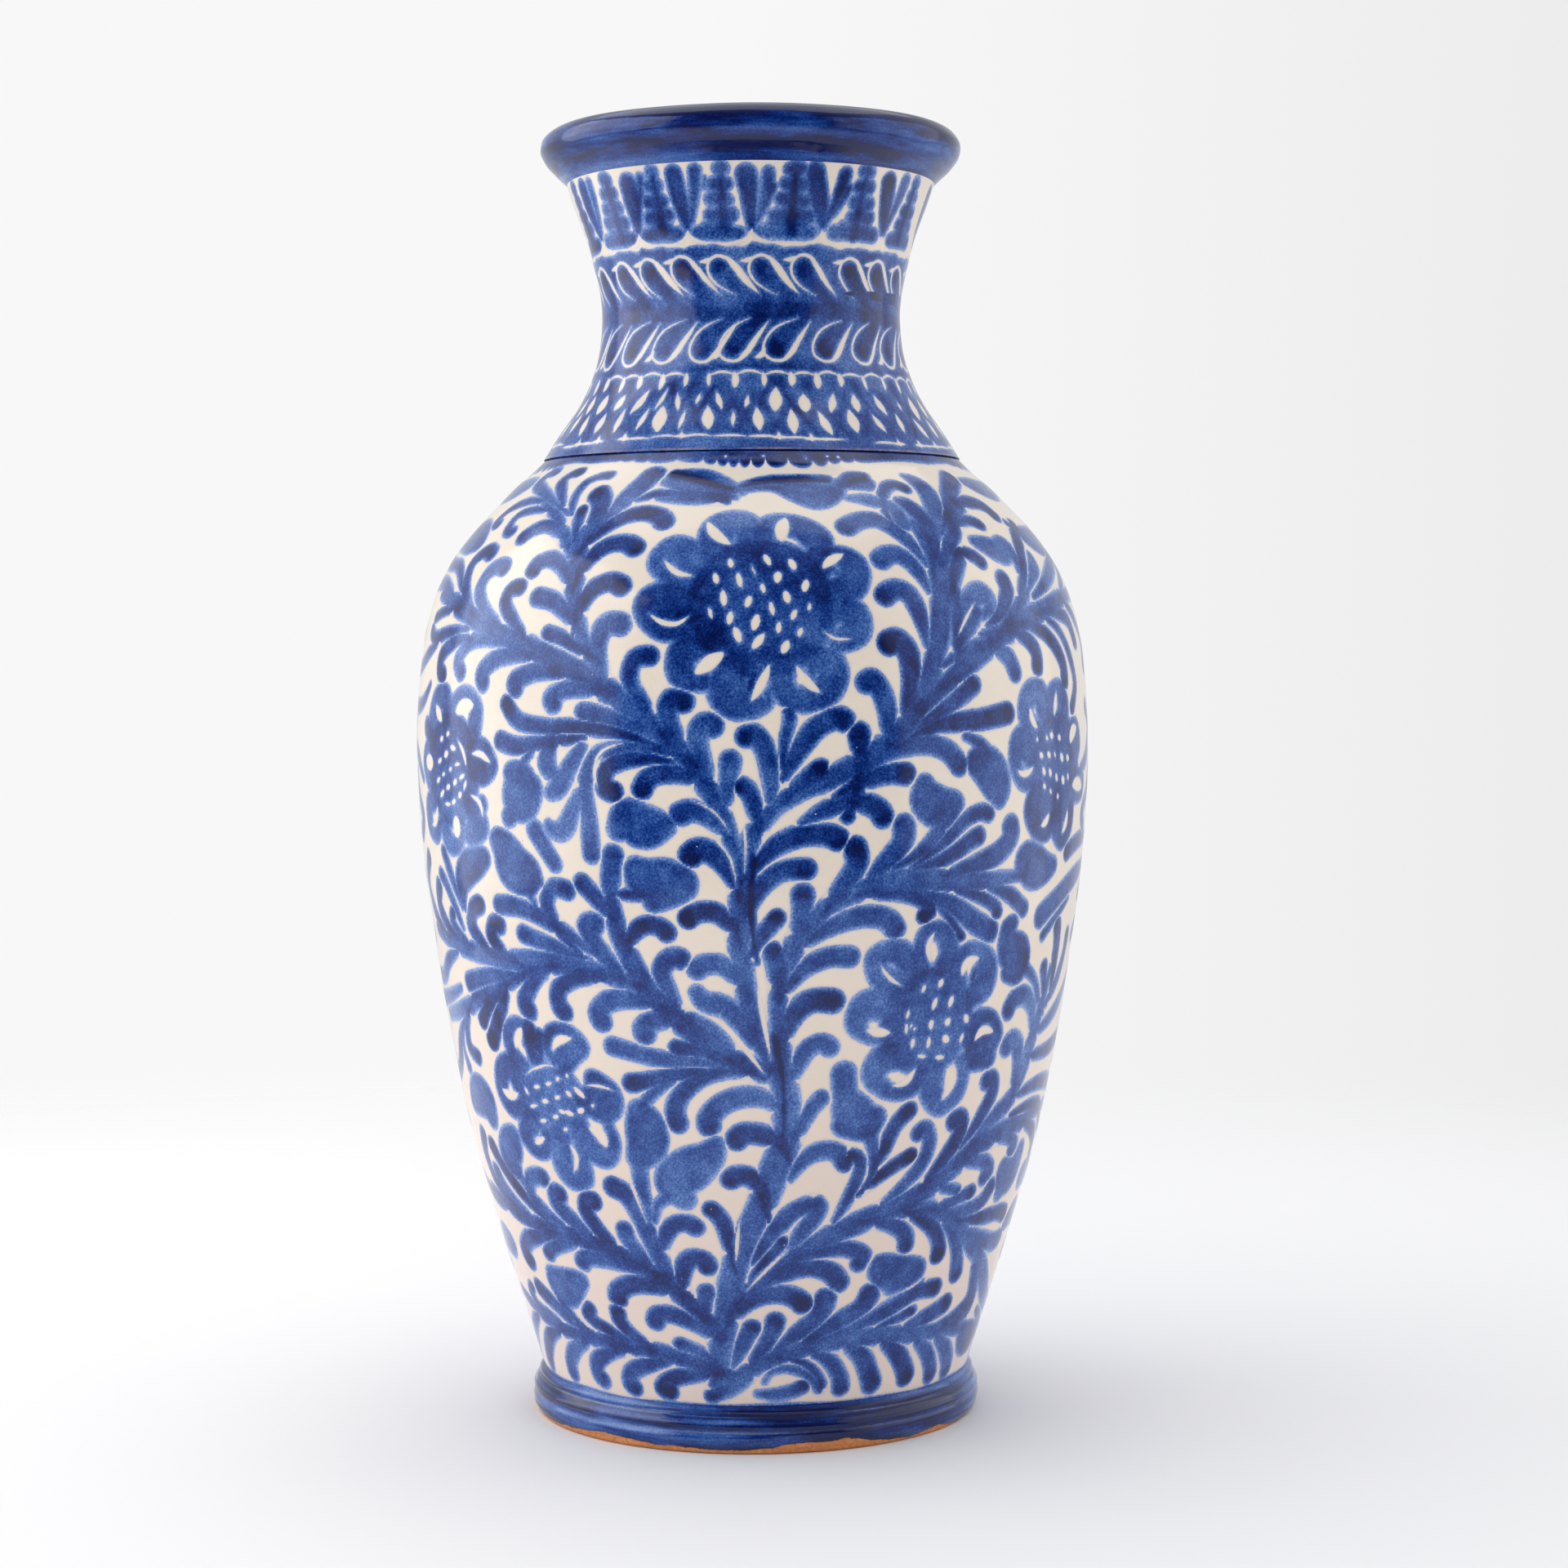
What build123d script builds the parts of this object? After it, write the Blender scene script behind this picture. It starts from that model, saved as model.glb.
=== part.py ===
from build123d import *
import math
import os

# Tall baluster vase in glazed earthenware, all sections turned about the Z axis.
# Units are millimetres, +Z is up, and Z = 0 is the plane that the foot stands on.
# The clay is made as the potter makes it: a foot ring, a thrown body with its floor,
# a thrown neck luted onto the shoulder, and a rolled lip. Coats of glaze lie on the clay.

# ---- driving dimensions ----
HEIGHT = 400.0            # foot plane to the crown of the lip
GLAZE = 0.5               # thickness of the outer glaze coats
LINING = 0.4              # thickness of the glaze lining inside
WALL_BODY = 7.4           # clay wall of the body, measured square to the wall
WALL_NECK = 6.6           # clay wall of the neck
Z_NOTCH = 14.2            # top of the foot moulding, where the body rises from it
Z_SEAT = 298.25           # seam where the neck is luted onto the shoulder
Z_LIP = 383.8             # underside of the rolled lip
FLOOR_UNDER = 5.0         # underside of the floor, lifted inside the foot ring
FLOOR_TOP = 14.0          # clay floor inside the body
FOOT_BARE = 1.6           # bare clay left under the foot glaze
R_STAND_IN, R_STAND_OUT = 57.5, 67.6   # the flat ring that the vase stands on

# Outer profile of the glazed body, as (radius, height), from the foot notch to the shoulder band
BODY_OUT = [
    (67.05, 14.2), (69.10, 20.6), (73.25, 33.5), (78.07, 48.9), (83.53, 67.0), (89.17, 87.6),
    (94.14, 110.75), (98.54, 136.5), (101.79, 159.7), (104.06, 180.3), (105.06, 195.75),
    (105.29, 211.2), (104.65, 226.66), (103.18, 239.5), (100.71, 251.1), (97.49, 260.1),
    (93.24, 267.9), (87.39, 275.6), (80.18, 283.3), (72.30, 291.0), (68.70, 294.1), (66.60, 296.2),
]
SEAT_GROOVE = (64.60, Z_SEAT)          # the body's rim under the neck's edge
# Outer profile of the glazed neck, from the seam's edge to the underside of the lip
NECK_OUT = [
    (65.20, Z_SEAT), (64.10, 299.9), (60.80, 305.2), (56.20, 311.7), (52.30, 318.1), (49.50, 324.5),
    (47.40, 332.3), (46.60, 340.0), (46.80, 347.7), (48.80, 358.0), (51.60, 368.3), (55.05, 377.3),
    (57.35, Z_LIP),
]
# Outer profile of the glazed lip, from its underside over the crown and down into the mouth
LIP_OUT = [
    (57.35, Z_LIP), (60.00, 386.2), (62.85, 388.9), (64.85, 391.5), (65.76, 394.2), (65.30, 396.8),
    (63.55, 398.9), (60.60, HEIGHT), (57.60, 399.2), (55.00, 397.0), (53.40, 394.0),
]
# Outer profile of the glazed foot: a turned-under edge, a broad bead with a scribed line, a groove and an upper bead
FOOT_OUT = [
    (69.75, FOOT_BARE), (70.20, 2.8), (70.45, 4.6), (70.25, 6.0), (70.02, 6.6), (70.20, 7.2), (70.20, 8.4),
    (69.60, 9.9), (68.75, 10.9), (68.45, 11.5), (68.55, 12.4), (68.15, 13.3), (67.05, Z_NOTCH),
]
# Joint steps: the seat of the neck on the body, and of the lip on the neck
SEAT_STEP = [(60.0, Z_SEAT), (57.0, 303.0)]
LIP_STEP = [(54.6, Z_LIP), (53.6, 387.4)]
FOOT_STEP = [(62.0, Z_NOTCH), (60.5, FLOOR_UNDER)]


def v(points):
    """Points of a section, in the XZ plane."""
    return [Vector(r, 0, z) for r, z in points]


def curve(points, arcs=6, level_start=False):
    """A run of nearly tangent arcs through a smooth path; level_start makes it set out flat, as a floor does."""
    path = Edge.make_spline(v(points))
    if level_start:
        path = Edge.make_spline(v(points), tangents=[Vector(1, 0, 0), path.tangent_at(1)])
    p = [path.position_at(i / (2 * arcs)) for i in range(2 * arcs + 1)]
    return [Edge.make_three_point_arc(p[i], p[i + 1], p[i + 2]) for i in range(0, 2 * arcs, 2)]


def lines(points):
    p = v(points)
    return [Edge.make_line(a, b) for a, b in zip(p, p[1:])]


def offset(points, depth, samples):
    """A run of points at depth inside a profile that climbs with the clay on its left, at even parameters."""
    e = Edge.make_spline(v(points))
    out = []
    for i in range(samples + 1):
        p, t = e.position_at(i / samples), e.tangent_at(i / samples)
        n = math.hypot(t.X, t.Z)
        out.append((p.X - depth * t.Z / n, p.Z + depth * t.X / n))
    return out


def radius_at(points, z):
    """The radius of a climbing run of points at height z."""
    for (r0, z0), (r1, z1) in zip(points, points[1:]):
        if z0 <= z <= z1:
            return r0 + (r1 - r0) * (z - z0) / (z1 - z0)
    raise ValueError(z)


def turned(edges):
    """The solid of revolution of a closed section."""
    return revolve(Face(Wire(edges)), Axis.Z, 360)


# ---- shared profile runs, so that neighbouring pieces meet face to face ----
# clay under the body's glaze
body_clay = [(66.52, Z_NOTCH)] + offset(BODY_OUT, GLAZE, 24)[1:-1] + [(66.20, 295.85)]
seat_clay = (64.10, Z_SEAT)
neck_clay = [(64.55, Z_SEAT)] + [p for p in offset(NECK_OUT, GLAZE, 16)[1:-1] if p[1] > Z_SEAT + 0.8] + [(56.87, Z_LIP)]
lip_clay = [(56.87, Z_LIP)] + offset(LIP_OUT, GLAZE, 20)[2:-1] + [(53.90, 393.9)]
foot_clay = [(69.25, FOOT_BARE)] + [p for p in offset(FOOT_OUT, GLAZE, 24)[1:-1] if p[1] < Z_NOTCH - 0.9] + [(66.52, Z_NOTCH)]

# clay surface inside: the floor, its corner and the wall up to the seat
wall_in = [p for p in offset(BODY_OUT, GLAZE + WALL_BODY, 24) if 44.0 < p[1] < 286.0]
body_inner = [(30.0, FLOOR_TOP), (44.0, 15.1), (54.0, 19.0), (61.3, 27.0), (65.8, 37.0)] + wall_in + [(60.6, 292.5), (53.6, 303.0)]
neck_in = [p for p in offset(NECK_OUT, GLAZE + WALL_NECK, 16) if 306.0 < p[1] < 380.0]
neck_inner = [(53.6, 303.0)] + neck_in + [(51.20, 387.4)]
lip_inner = [(51.20, 387.4), (52.35, 390.6), (53.90, 393.9)]

# the lining's own surface, just inside the clay
lining_in = (
    [(r, z + LINING) for r, z in body_inner[:2]]
    + [(53.7, 19.0 + LINING), (60.95, 27.1 + LINING / 2), (65.40, 37.1)]
    + [(r - LINING, z) for r, z in wall_in]
    + [(60.25, 292.2), (53.25, 302.8)]
    + [(r - LINING, z) for r, z in neck_in]
    + [(50.80, 387.4), (51.97, 390.7), (53.40, 394.0)]
)

# ---- the clay pieces ----
BODY = dict(arcs=10)
INNER = dict(arcs=20, level_start=True)
NECK = dict(arcs=7)
LIP = dict(arcs=8)
FOOT = dict(arcs=12)

foot_ring = turned(
    curve(foot_clay, **FOOT)
    + lines([(69.25, FOOT_BARE), (68.75, 0.55)])
    + [Edge.make_three_point_arc(*v([(68.75, 0.55), (68.237, 0.1446), (R_STAND_OUT, 0.0)]))]
    + lines([(R_STAND_OUT, 0.0), (R_STAND_IN, 0.0), (58.6, FLOOR_UNDER), FOOT_STEP[1], FOOT_STEP[0], (66.52, Z_NOTCH)])
)
body_wall = turned(
    lines([(30.0, FLOOR_TOP), (0.0, FLOOR_TOP), (0.0, FLOOR_UNDER), FOOT_STEP[1], FOOT_STEP[0], (66.52, Z_NOTCH)])
    + curve(body_clay, **BODY)
    + lines([(66.20, 295.85), seat_clay, SEAT_STEP[0], SEAT_STEP[1], (53.6, 303.0)])
    + curve(body_inner, **INNER)
)
neck_collar = turned(
    lines([(53.6, 303.0), SEAT_STEP[1], SEAT_STEP[0], seat_clay, (64.55, Z_SEAT)])
    + curve(neck_clay, **NECK)
    + lines([(56.87, Z_LIP), LIP_STEP[0], LIP_STEP[1], (51.20, 387.4)])
    + curve(neck_inner, **NECK)
)
rolled_lip = turned(lines([(51.20, 387.4), LIP_STEP[1], LIP_STEP[0], (56.87, Z_LIP)]) + curve(lip_clay, **LIP) + curve(lip_inner, arcs=2))

# ---- the glaze coats ----
foot_glaze = turned(
    curve(FOOT_OUT, **FOOT) + lines([(69.75, FOOT_BARE), (69.25, FOOT_BARE)]) + curve(foot_clay, **FOOT) + lines([(66.52, Z_NOTCH), (67.05, Z_NOTCH)])
)
body_glaze = turned(
    curve(BODY_OUT, **BODY)
    + lines([(66.60, 296.2), SEAT_GROOVE, seat_clay, (66.20, 295.85)])
    + curve(body_clay, **BODY)
    + lines([(66.52, Z_NOTCH), (67.05, Z_NOTCH)])
)
neck_glaze = turned(
    curve(NECK_OUT, **NECK) + lines([(57.35, Z_LIP), (56.87, Z_LIP)]) + curve(neck_clay, **NECK) + lines([(64.55, Z_SEAT), (65.20, Z_SEAT)])
)
lip_glaze = turned(
    curve(LIP_OUT, **LIP) + lines([(53.40, 394.0), (53.90, 393.9)]) + curve(lip_clay, **LIP) + lines([(56.87, Z_LIP), (57.35, Z_LIP)])
)
lining_glaze = turned(
    lines([(30.0, FLOOR_TOP + LINING), (0.0, FLOOR_TOP + LINING), (0.0, FLOOR_TOP), (30.0, FLOOR_TOP)])
    + curve(body_inner, **INNER)
    + curve(neck_inner, **NECK)
    + curve(lip_inner, arcs=2)
    + lines([(53.90, 393.9), (53.40, 394.0)])
    + curve(lining_in, arcs=30, level_start=True)
)

PARTS = {
    "foot_ring": foot_ring,
    "body_wall": body_wall,
    "neck_collar": neck_collar,
    "rolled_lip": rolled_lip,
    "foot_glaze": foot_glaze,
    "body_glaze": body_glaze,
    "neck_glaze": neck_glaze,
    "lip_glaze": lip_glaze,
    "lining_glaze": lining_glaze,
}

os.makedirs("parts", exist_ok=True)
for name, shape in PARTS.items():
    export_step(shape, f"parts/{name}.step")
    b = shape.bounding_box()
    print(f"{name:14s} volume {shape.volume / 1000:8.2f} cm3  z {b.min.Z:7.2f} to {b.max.Z:7.2f}  r {b.max.X:6.2f}")
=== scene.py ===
import math

import bpy
import numpy as np
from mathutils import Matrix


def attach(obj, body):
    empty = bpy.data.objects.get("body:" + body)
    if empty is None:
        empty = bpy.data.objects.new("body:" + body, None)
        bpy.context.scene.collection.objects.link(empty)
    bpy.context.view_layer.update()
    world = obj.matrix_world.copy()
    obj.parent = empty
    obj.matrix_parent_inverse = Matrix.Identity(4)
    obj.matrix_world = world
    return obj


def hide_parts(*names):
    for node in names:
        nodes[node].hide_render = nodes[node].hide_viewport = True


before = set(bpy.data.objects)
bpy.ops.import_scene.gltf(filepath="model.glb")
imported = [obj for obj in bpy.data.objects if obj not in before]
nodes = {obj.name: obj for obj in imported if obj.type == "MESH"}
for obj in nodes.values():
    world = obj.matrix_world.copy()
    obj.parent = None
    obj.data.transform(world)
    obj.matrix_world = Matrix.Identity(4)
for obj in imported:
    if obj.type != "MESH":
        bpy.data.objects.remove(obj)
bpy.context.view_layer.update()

MM = 0.001
ROOM_FRONT = 0.67
ROOM_GLOSS = 0.03
ROOM_BACK = 0.75
KEY = 1.27
FILL = 0.61
TOP = 0.95
ROLL = 0.25
FINE = 1   # a coarser mesh while trying things

# ---- outer profiles of the glaze coats, (radius, height) in mm, as the CAD has them ----
BODY_OUT = [
    (67.05, 14.2), (69.10, 20.6), (73.25, 33.5), (78.07, 48.9), (83.53, 67.0), (89.17, 87.6),
    (94.14, 110.75), (98.54, 136.5), (101.79, 159.7), (104.06, 180.3), (105.06, 195.75),
    (105.29, 211.2), (104.65, 226.66), (103.18, 239.5), (100.71, 251.1), (97.49, 260.1),
    (93.24, 267.9), (87.39, 275.6), (80.18, 283.3), (72.30, 291.0), (68.70, 294.1), (66.60, 296.2),
]
BODY_LEDGE = (64.60, 298.25)
NECK_OUT = [
    (65.20, 298.25), (64.10, 299.9), (60.80, 305.2), (56.20, 311.7), (52.30, 318.1), (49.50, 324.5),
    (47.40, 332.3), (46.60, 340.0), (46.80, 347.7), (48.80, 358.0), (51.60, 368.3), (55.05, 377.3),
    (57.35, 383.8),
]
LIP_OUT = [
    (57.35, 383.8), (60.00, 386.2), (62.85, 388.9), (64.85, 391.5), (65.76, 394.2), (65.30, 396.8),
    (63.55, 398.9), (60.60, 400.0), (57.60, 399.2), (55.00, 397.0), (53.40, 394.0),
]
FOOT_OUT = [
    (68.35, 0.12), (69.05, 0.5), (69.55, 1.3), (70.00, 2.4), (70.35, 4.2), (70.25, 6.0), (70.02, 6.6), (70.20, 7.2),
    (70.20, 8.4), (69.60, 9.9), (68.75, 10.9), (68.45, 11.5), (68.55, 12.4), (68.15, 13.3), (67.05, 14.2),
]


def smooth_curve(points, step):
    """Samples a natural cubic spline through (radius, height) points about every step mm."""
    p = np.array(points, float)
    t = np.concatenate([[0], np.cumsum(np.linalg.norm(np.diff(p, axis=0), axis=1))])
    n, h = len(t), np.diff(t)
    a = np.zeros((n, n))
    a[0, 0] = a[-1, -1] = 1
    for i in range(1, n - 1):
        a[i, i - 1:i + 2] = h[i - 1], 2 * (h[i - 1] + h[i]), h[i]
    out = []
    u = np.linspace(0, t[-1], 4000)
    k = np.clip(np.searchsorted(t, u, side="right") - 1, 0, n - 2)
    for c in p.T:
        b = np.zeros(n)
        b[1:-1] = 6 * (np.diff(c)[1:] / h[1:] - np.diff(c)[:-1] / h[:-1])
        m = np.linalg.solve(a, b)
        x0, x1 = u - t[k], t[k + 1] - u
        out.append((m[k] * x1**3 + m[k + 1] * x0**3) / (6 * h[k]) + (c[k] / h[k] - m[k] * h[k] / 6) * x1 + (c[k + 1] / h[k] - m[k + 1] * h[k] / 6) * x0)
    q = np.stack(out, -1)
    s = np.concatenate([[0], np.cumsum(np.linalg.norm(np.diff(q, axis=0), axis=1))])
    v = np.linspace(0, s[-1], max(2, int(round(s[-1] / step)) + 1))
    return np.stack([np.interp(v, s, q[:, 0]), np.interp(v, s, q[:, 1])], -1)


body_fine = smooth_curve(BODY_OUT, 0.25)
neck_fine = smooth_curve(NECK_OUT, 0.25)


def on_body(theta, z):
    r = np.interp(z, body_fine[:, 1], body_fine[:, 0])
    return np.stack([r * np.sin(theta), -r * np.cos(theta), z + 0 * r], -1)


def on_neck(theta, z):
    r = np.interp(z, neck_fine[:, 1], neck_fine[:, 0])
    return np.stack([r * np.sin(theta), -r * np.cos(theta), z + 0 * r], -1)


# ---- the painting, as brush strokes ----
# Body coordinates: angle round the vase in degrees (0 faces the front, positive to the right) and height in mm.
# LEAVES: (width at the tail, width at the head, then angle and height at each point from tail to head), widths in mm.
LEAVES = [
    # hooked leaves round the big flower, left side, top to bottom
    (2.5, 6.6, -33, 264, -30.5, 272, -26, 277.5, -21, 279, -17.6, 277.8, -16.6, 276.4),
    (2.5, 6.6, -31, 256, -30, 264, -27, 269.3, -23, 270.3, -20.9, 268.9),
    (2.5, 6.5, -29.6, 243, -29.3, 250, -27.4, 256.6, -24, 259, -21.9, 257.8),
    (3, 7, -21, 222, -24.2, 232, -25.2, 241, -23.8, 246.6, -21.2, 246.8),
    (3, 6, -13, 214, -17, 224, -19.2, 231, -18.4, 236.8, -16, 237.8),
    (3, 7, -8, 206, -11.8, 215, -13, 221, -12.2, 225.2, -10.4, 224.9),
    (3, 7.2, -5.4, 199, -7.6, 208, -8.2, 214, -7.2, 218, -5.9, 218),
    (3, 6.6, 3.2, 194, 3.2, 204, 2.4, 211, 0.6, 215.3, -0.5, 214.9),
    (2.5, 6.4, -4, 194, -3.6, 200, -3.2, 204, -3, 208),
    (3, 5.8, 1.6, 187, 0.8, 194.5, -0.3, 199.5, -1.3, 200.8),
    (2.5, 4.2, 5.2, 202, 5.4, 212, 6.2, 219.5, 6.2, 222),
    (4, 7, 5.2, 203, 7.6, 211, 10.6, 217.5, 13.6, 220, 14.8, 219.3),
    (5, 7, 15.3, 192, 17, 201, 17.6, 209, 17.2, 215.5),
    (3, 6.8, 21.6, 208, 22.2, 218, 21.4, 226, 19.6, 230.6, 18.6, 230),
    (3, 7.6, 24.6, 219, 26.4, 230, 26, 238.6, 24.2, 241.8, 22.8, 241.2),
    (3, 6.8, 29.8, 240, 29, 249, 27.2, 255.6, 25, 256.6, 23, 254.8),
    (3, 6.8, 31.8, 256, 30, 263, 27.6, 266.6, 25, 266.6, 23.6, 265.3),
    (3, 6.8, 33, 263, 29, 273.5, 25, 277, 21.4, 276.6, 18.6, 274.8),
    # under the shoulder band
    (2, 6, -25, 282.6, -20, 284.6, -13, 284.2, -5, 283.4),
    (3, 8, -30, 276, -27, 283, -24.2, 288.3, -23, 290.6),
    (2.5, 4.6, -32.6, 266, -35.2, 275, -36.4, 280.4),
    (3, 7.6, -31.6, 267, -31.2, 275, -32, 281.5, -34.4, 285),
    (3, 6.4, -33, 265, -37, 272.6, -42, 276, -46.4, 275, -48.4, 272.9),
    (3, 6.2, -31.6, 257, -34.6, 263.8, -38, 266, -40.6, 264.8, -41.2, 262.9),
    (2, 6.2, -27.6, 243, -31, 249.6, -34.4, 253.4, -38.2, 254.8),
    (2, 5.2, -24, 235.6, -28, 239.8, -31.4, 242.6, -34.7, 244.2),
    (2.5, 5, -39, 279, -47, 283.4, -55, 287, -60.4, 290, -59.6, 292.4, -57, 292.9),
    (2.5, 4.8, -42, 281, -46.6, 286, -49.6, 290, -48.2, 291.8, -46, 292.2),
    (2.5, 4, -38.6, 279, -41, 285, -40.4, 289, -37.6, 290.6, -34.8, 290.8),
    (2.5, 4.6, -43, 280, -51, 281.2, -56.4, 279.4, -56, 275.4, -53.8, 274.5),
    (2.5, 4.6, -46, 283, -57, 284, -63.6, 281.4, -64.8, 278, -62.8, 277.2),
    (3, 6, -49, 247, -57, 253, -61.4, 261, -61.6, 266, -58.6, 269, -56, 268.2),
    (3, 6.2, -44, 245, -51, 251, -54.4, 257.4, -53.8, 262, -51.2, 264.2, -49.4, 263.8),
    (2.5, 5.6, -38, 241, -43, 248, -45.8, 253.6, -45.2, 257, -43, 257.8),
    (3, 6, -41, 239.6, -49.6, 243, -55, 241, -57.2, 236, -55.9, 233),
    (2.5, 6.4, -35, 236.4, -42, 238.2, -46.6, 236.4, -49.4, 232.4, -49, 230),
    (3, 6.6, -27, 231.4, -34, 233.8, -38, 232.8, -41, 230, -40.9, 228.6),
    (3, 6.2, -20, 226.6, -27, 228.6, -31, 228, -33.2, 225.4, -32.8, 224),
    (3, 6.2, -10, 209, -15, 215.5, -20, 219.2, -27, 221.6),
    (2.5, 5.6, -9, 207, -18, 214.4, -26, 217.3, -34, 217.3, -40, 219.2, -42.6, 224),
    (3, 6, -27, 214.5, -34, 213, -40, 211.6, -43.8, 213),
    (3, 5, -55, 246, -63, 244.4, -70, 243.2, -72.4, 245.6),
    (2, 4.2, -58, 252, -66, 251.4, -71.8, 249),
    (3, 6, -53, 243, -60.6, 241.4, -64.4, 237, -64.2, 233.4, -62.9, 232),
    (3, 5.4, -66, 243, -73, 238, -79, 234.4, -83, 234),
    (2.5, 5.2, -69, 229, -73, 224, -78, 222, -82, 222.5),
    (3, 5.6, -63, 255, -73, 259.4, -81, 260, -86, 258.4),
    (3, 5, -61, 257, -68, 264.4, -76, 265.6, -82, 266.6),
    # right of the big flower
    (2.5, 4.6, 29, 273, 28.6, 281.6, 31, 286.4, 34, 287.8, 36.6, 286.8),
    (2.6, 5.4, 37, 268, 42, 274.4, 47.6, 277.6, 51.8, 276.4),
    (3, 6.2, 39, 273, 47, 281.6, 54, 283.2, 59.4, 282, 61, 279.4),
    (3, 7.6, 42, 276, 48.4, 284, 53.4, 288.8, 56, 290.6),
    (2.5, 5.4, 35.6, 252, 38, 262, 41, 267.6, 44, 266.8, 45.6, 265),
    (3, 7, 43, 246, 47.6, 251, 50, 256, 50, 259.4),
    (3, 6, 51, 250, 56.4, 259.6, 60.4, 268, 64.4, 274, 67.4, 276.4),
    (3, 6, 58, 254.6, 65.6, 259.4, 73, 264, 80, 268),
    (3, 6, 57, 249.6, 65.6, 250.2, 71.4, 247.6, 73.6, 241.6),
    (3, 6.4, 31.6, 234, 38, 239.2, 43, 240.4, 46.8, 237, 48.3, 232.4),
    (3, 6.4, 41, 243, 48, 245, 52.4, 242.6, 55, 238, 55, 234),
    (3, 6.2, 48, 246.6, 57, 245.2, 62.4, 239.6, 65, 233.6, 64.8, 229.4),
    (2.5, 4.6, 57, 249.4, 64, 246, 68.4, 238, 70.4, 229, 68, 221),
    (2.5, 4.6, 27, 223, 32, 228.4, 35.4, 230.8),
    (3, 6.4, 26, 216, 32, 221.6, 35.8, 226, 38.2, 228.9),
    (3, 6.8, 23, 211, 31, 217.6, 39, 218.6, 45.7, 220.4),
    (3.5, 6.8, 17, 203, 23, 210.4, 28.6, 212.2, 32.6, 210, 35, 205.8),
    (3, 6.8, 13, 197, 18.4, 202.4, 22.6, 204, 25, 203.6),
    (3, 7, 8, 190, 13.4, 195, 17.6, 195.8, 20.4, 193.6, 21.2, 191.6),
    (2.5, 7.4, 18, 172, 22.4, 179, 24.8, 184.4, 24.9, 188.6),
    (2.5, 5.4, 26, 176, 32.4, 183.6, 37, 190.2, 40, 191.8, 41.4, 191.2),
    (2.5, 6, 26, 175.6, 33.6, 179.4, 37.8, 183.6, 39.4, 184.8),
    (3, 7.6, 32, 173.8, 40.6, 177, 45, 180.2, 47.2, 184.4, 46.9, 187),
    (3, 5.6, 17, 169, 24, 169.4, 28.4, 167.4, 30.4, 164.4, 29.4, 162.4),
    (3, 7.4, 28, 170, 35, 164.6, 40.4, 159, 43.8, 156.2),
    (2.5, 4.8, 34, 170, 40.8, 166.8, 44.2, 164, 45, 161.9),
    (2.5, 5.6, 41, 170, 47.6, 167, 51, 163.4, 52.2, 162),
    (2, 4, 30, 168, 34.8, 160.4, 37, 155.4),
    (3, 6, 86, 180.6, 75, 180.4, 67.2, 177.4),
    (3, 8, 86, 173, 72, 168.4, 63, 162.6, 58.4, 159),
    (2, 4, 71, 163, 64, 157, 60.2, 152.8),
    (3, 6.6, 67.4, 132, 67.6, 144, 67.2, 152, 66.6, 154.6),
    (2.5, 5.6, 65, 128, 63.8, 137, 62.6, 142.6),
    (3.5, 7, 61, 120, 59.6, 131, 56, 135.2, 52.6, 134.4, 51.4, 131.8),
    (3.5, 7.4, 57, 102, 57.4, 114, 56, 120, 53.8, 121.8, 52.4, 120.6),
    (3, 6.4, 43, 91, 47.6, 99.6, 50, 107, 49.2, 110.8, 47.8, 110.8),
    (3, 7, 35, 81, 40, 89.6, 42.4, 96, 41.8, 100, 40.6, 99.8),
    (2.5, 5.6, 24, 74, 30, 81, 34, 88.4, 35, 94.4, 33.6, 98.4, 32.2, 97.4),
    (2.5, 5, 20.4, 80, 26, 86.6, 31, 90.6),
    (2.5, 5.6, 22, 84, 24.8, 92.6, 26.8, 100, 29.6, 104.6),
    (3, 6.2, 7, 86, 9.6, 91.6, 12.6, 94, 15.6, 93.4, 17.4, 90.2),
    (2.5, 5, 16.2, 71.6, 18.6, 79, 20.4, 86, 20.2, 90.6, 18.4, 92),
    # left of the trunk
    (3, 6, -11, 209.4, -19, 211.8, -24.8, 208.8, -26.8, 200, -26.3, 190, -26, 181),
    (3, 6.4, -12, 207.6, -19, 208.6, -23, 205.4, -23.4, 200.6, -21.8, 198.9),
    (3, 6.6, -5, 200.6, -11, 204.4, -15.4, 203.6, -17, 199.9),
    (3, 7, -2.4, 184, -6, 192, -9, 193.8, -11, 192.7),
    (3, 7, -23, 164, -22.8, 173.6, -22.3, 180.6),
    (3, 6, -22.4, 161, -24.8, 166.6, -27.2, 171, -28.1, 172.4),
    (3, 6, -20.6, 150, -19.8, 157.4, -17, 160.8, -14.8, 160.2, -13.7, 158.7),
    (3, 7, -20.6, 144, -24.6, 150.6, -27.2, 156.4, -27.6, 160.2, -26.2, 160.6),
    (3, 6.4, -11.6, 134, -13.8, 141.4, -14.9, 147.4, -13.2, 151.2, -11.6, 151.1),
    (3, 7.4, -1.6, 168, -2.8, 175.4, -5.2, 180.8, -8, 182.6, -9.4, 181),
    (3, 6.4, -1.6, 154, -3, 161, -5.8, 164.7, -8.8, 164.4, -10, 163),
    (3, 6.4, 0, 138, -2, 145.6, -4.8, 149.4, -7.6, 149.4, -8.8, 148.2),
    (3, 7, -2, 121.6, -7, 130, -11, 133, -15.6, 133.4, -18.4, 130.6, -18.4, 129),
    (3, 7, -14, 136.2, -20, 139.2, -24.6, 138, -26.7, 134.6, -26.3, 132.2),
    (3, 6.4, -18, 142.4, -26, 145.4, -31, 144.4, -34.6, 140.4, -34.7, 136, -33.8, 134),
    (3, 6.8, -34, 147.6, -39, 144.4, -41.8, 139, -42.8, 135.6, -41.9, 133.4),
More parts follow.
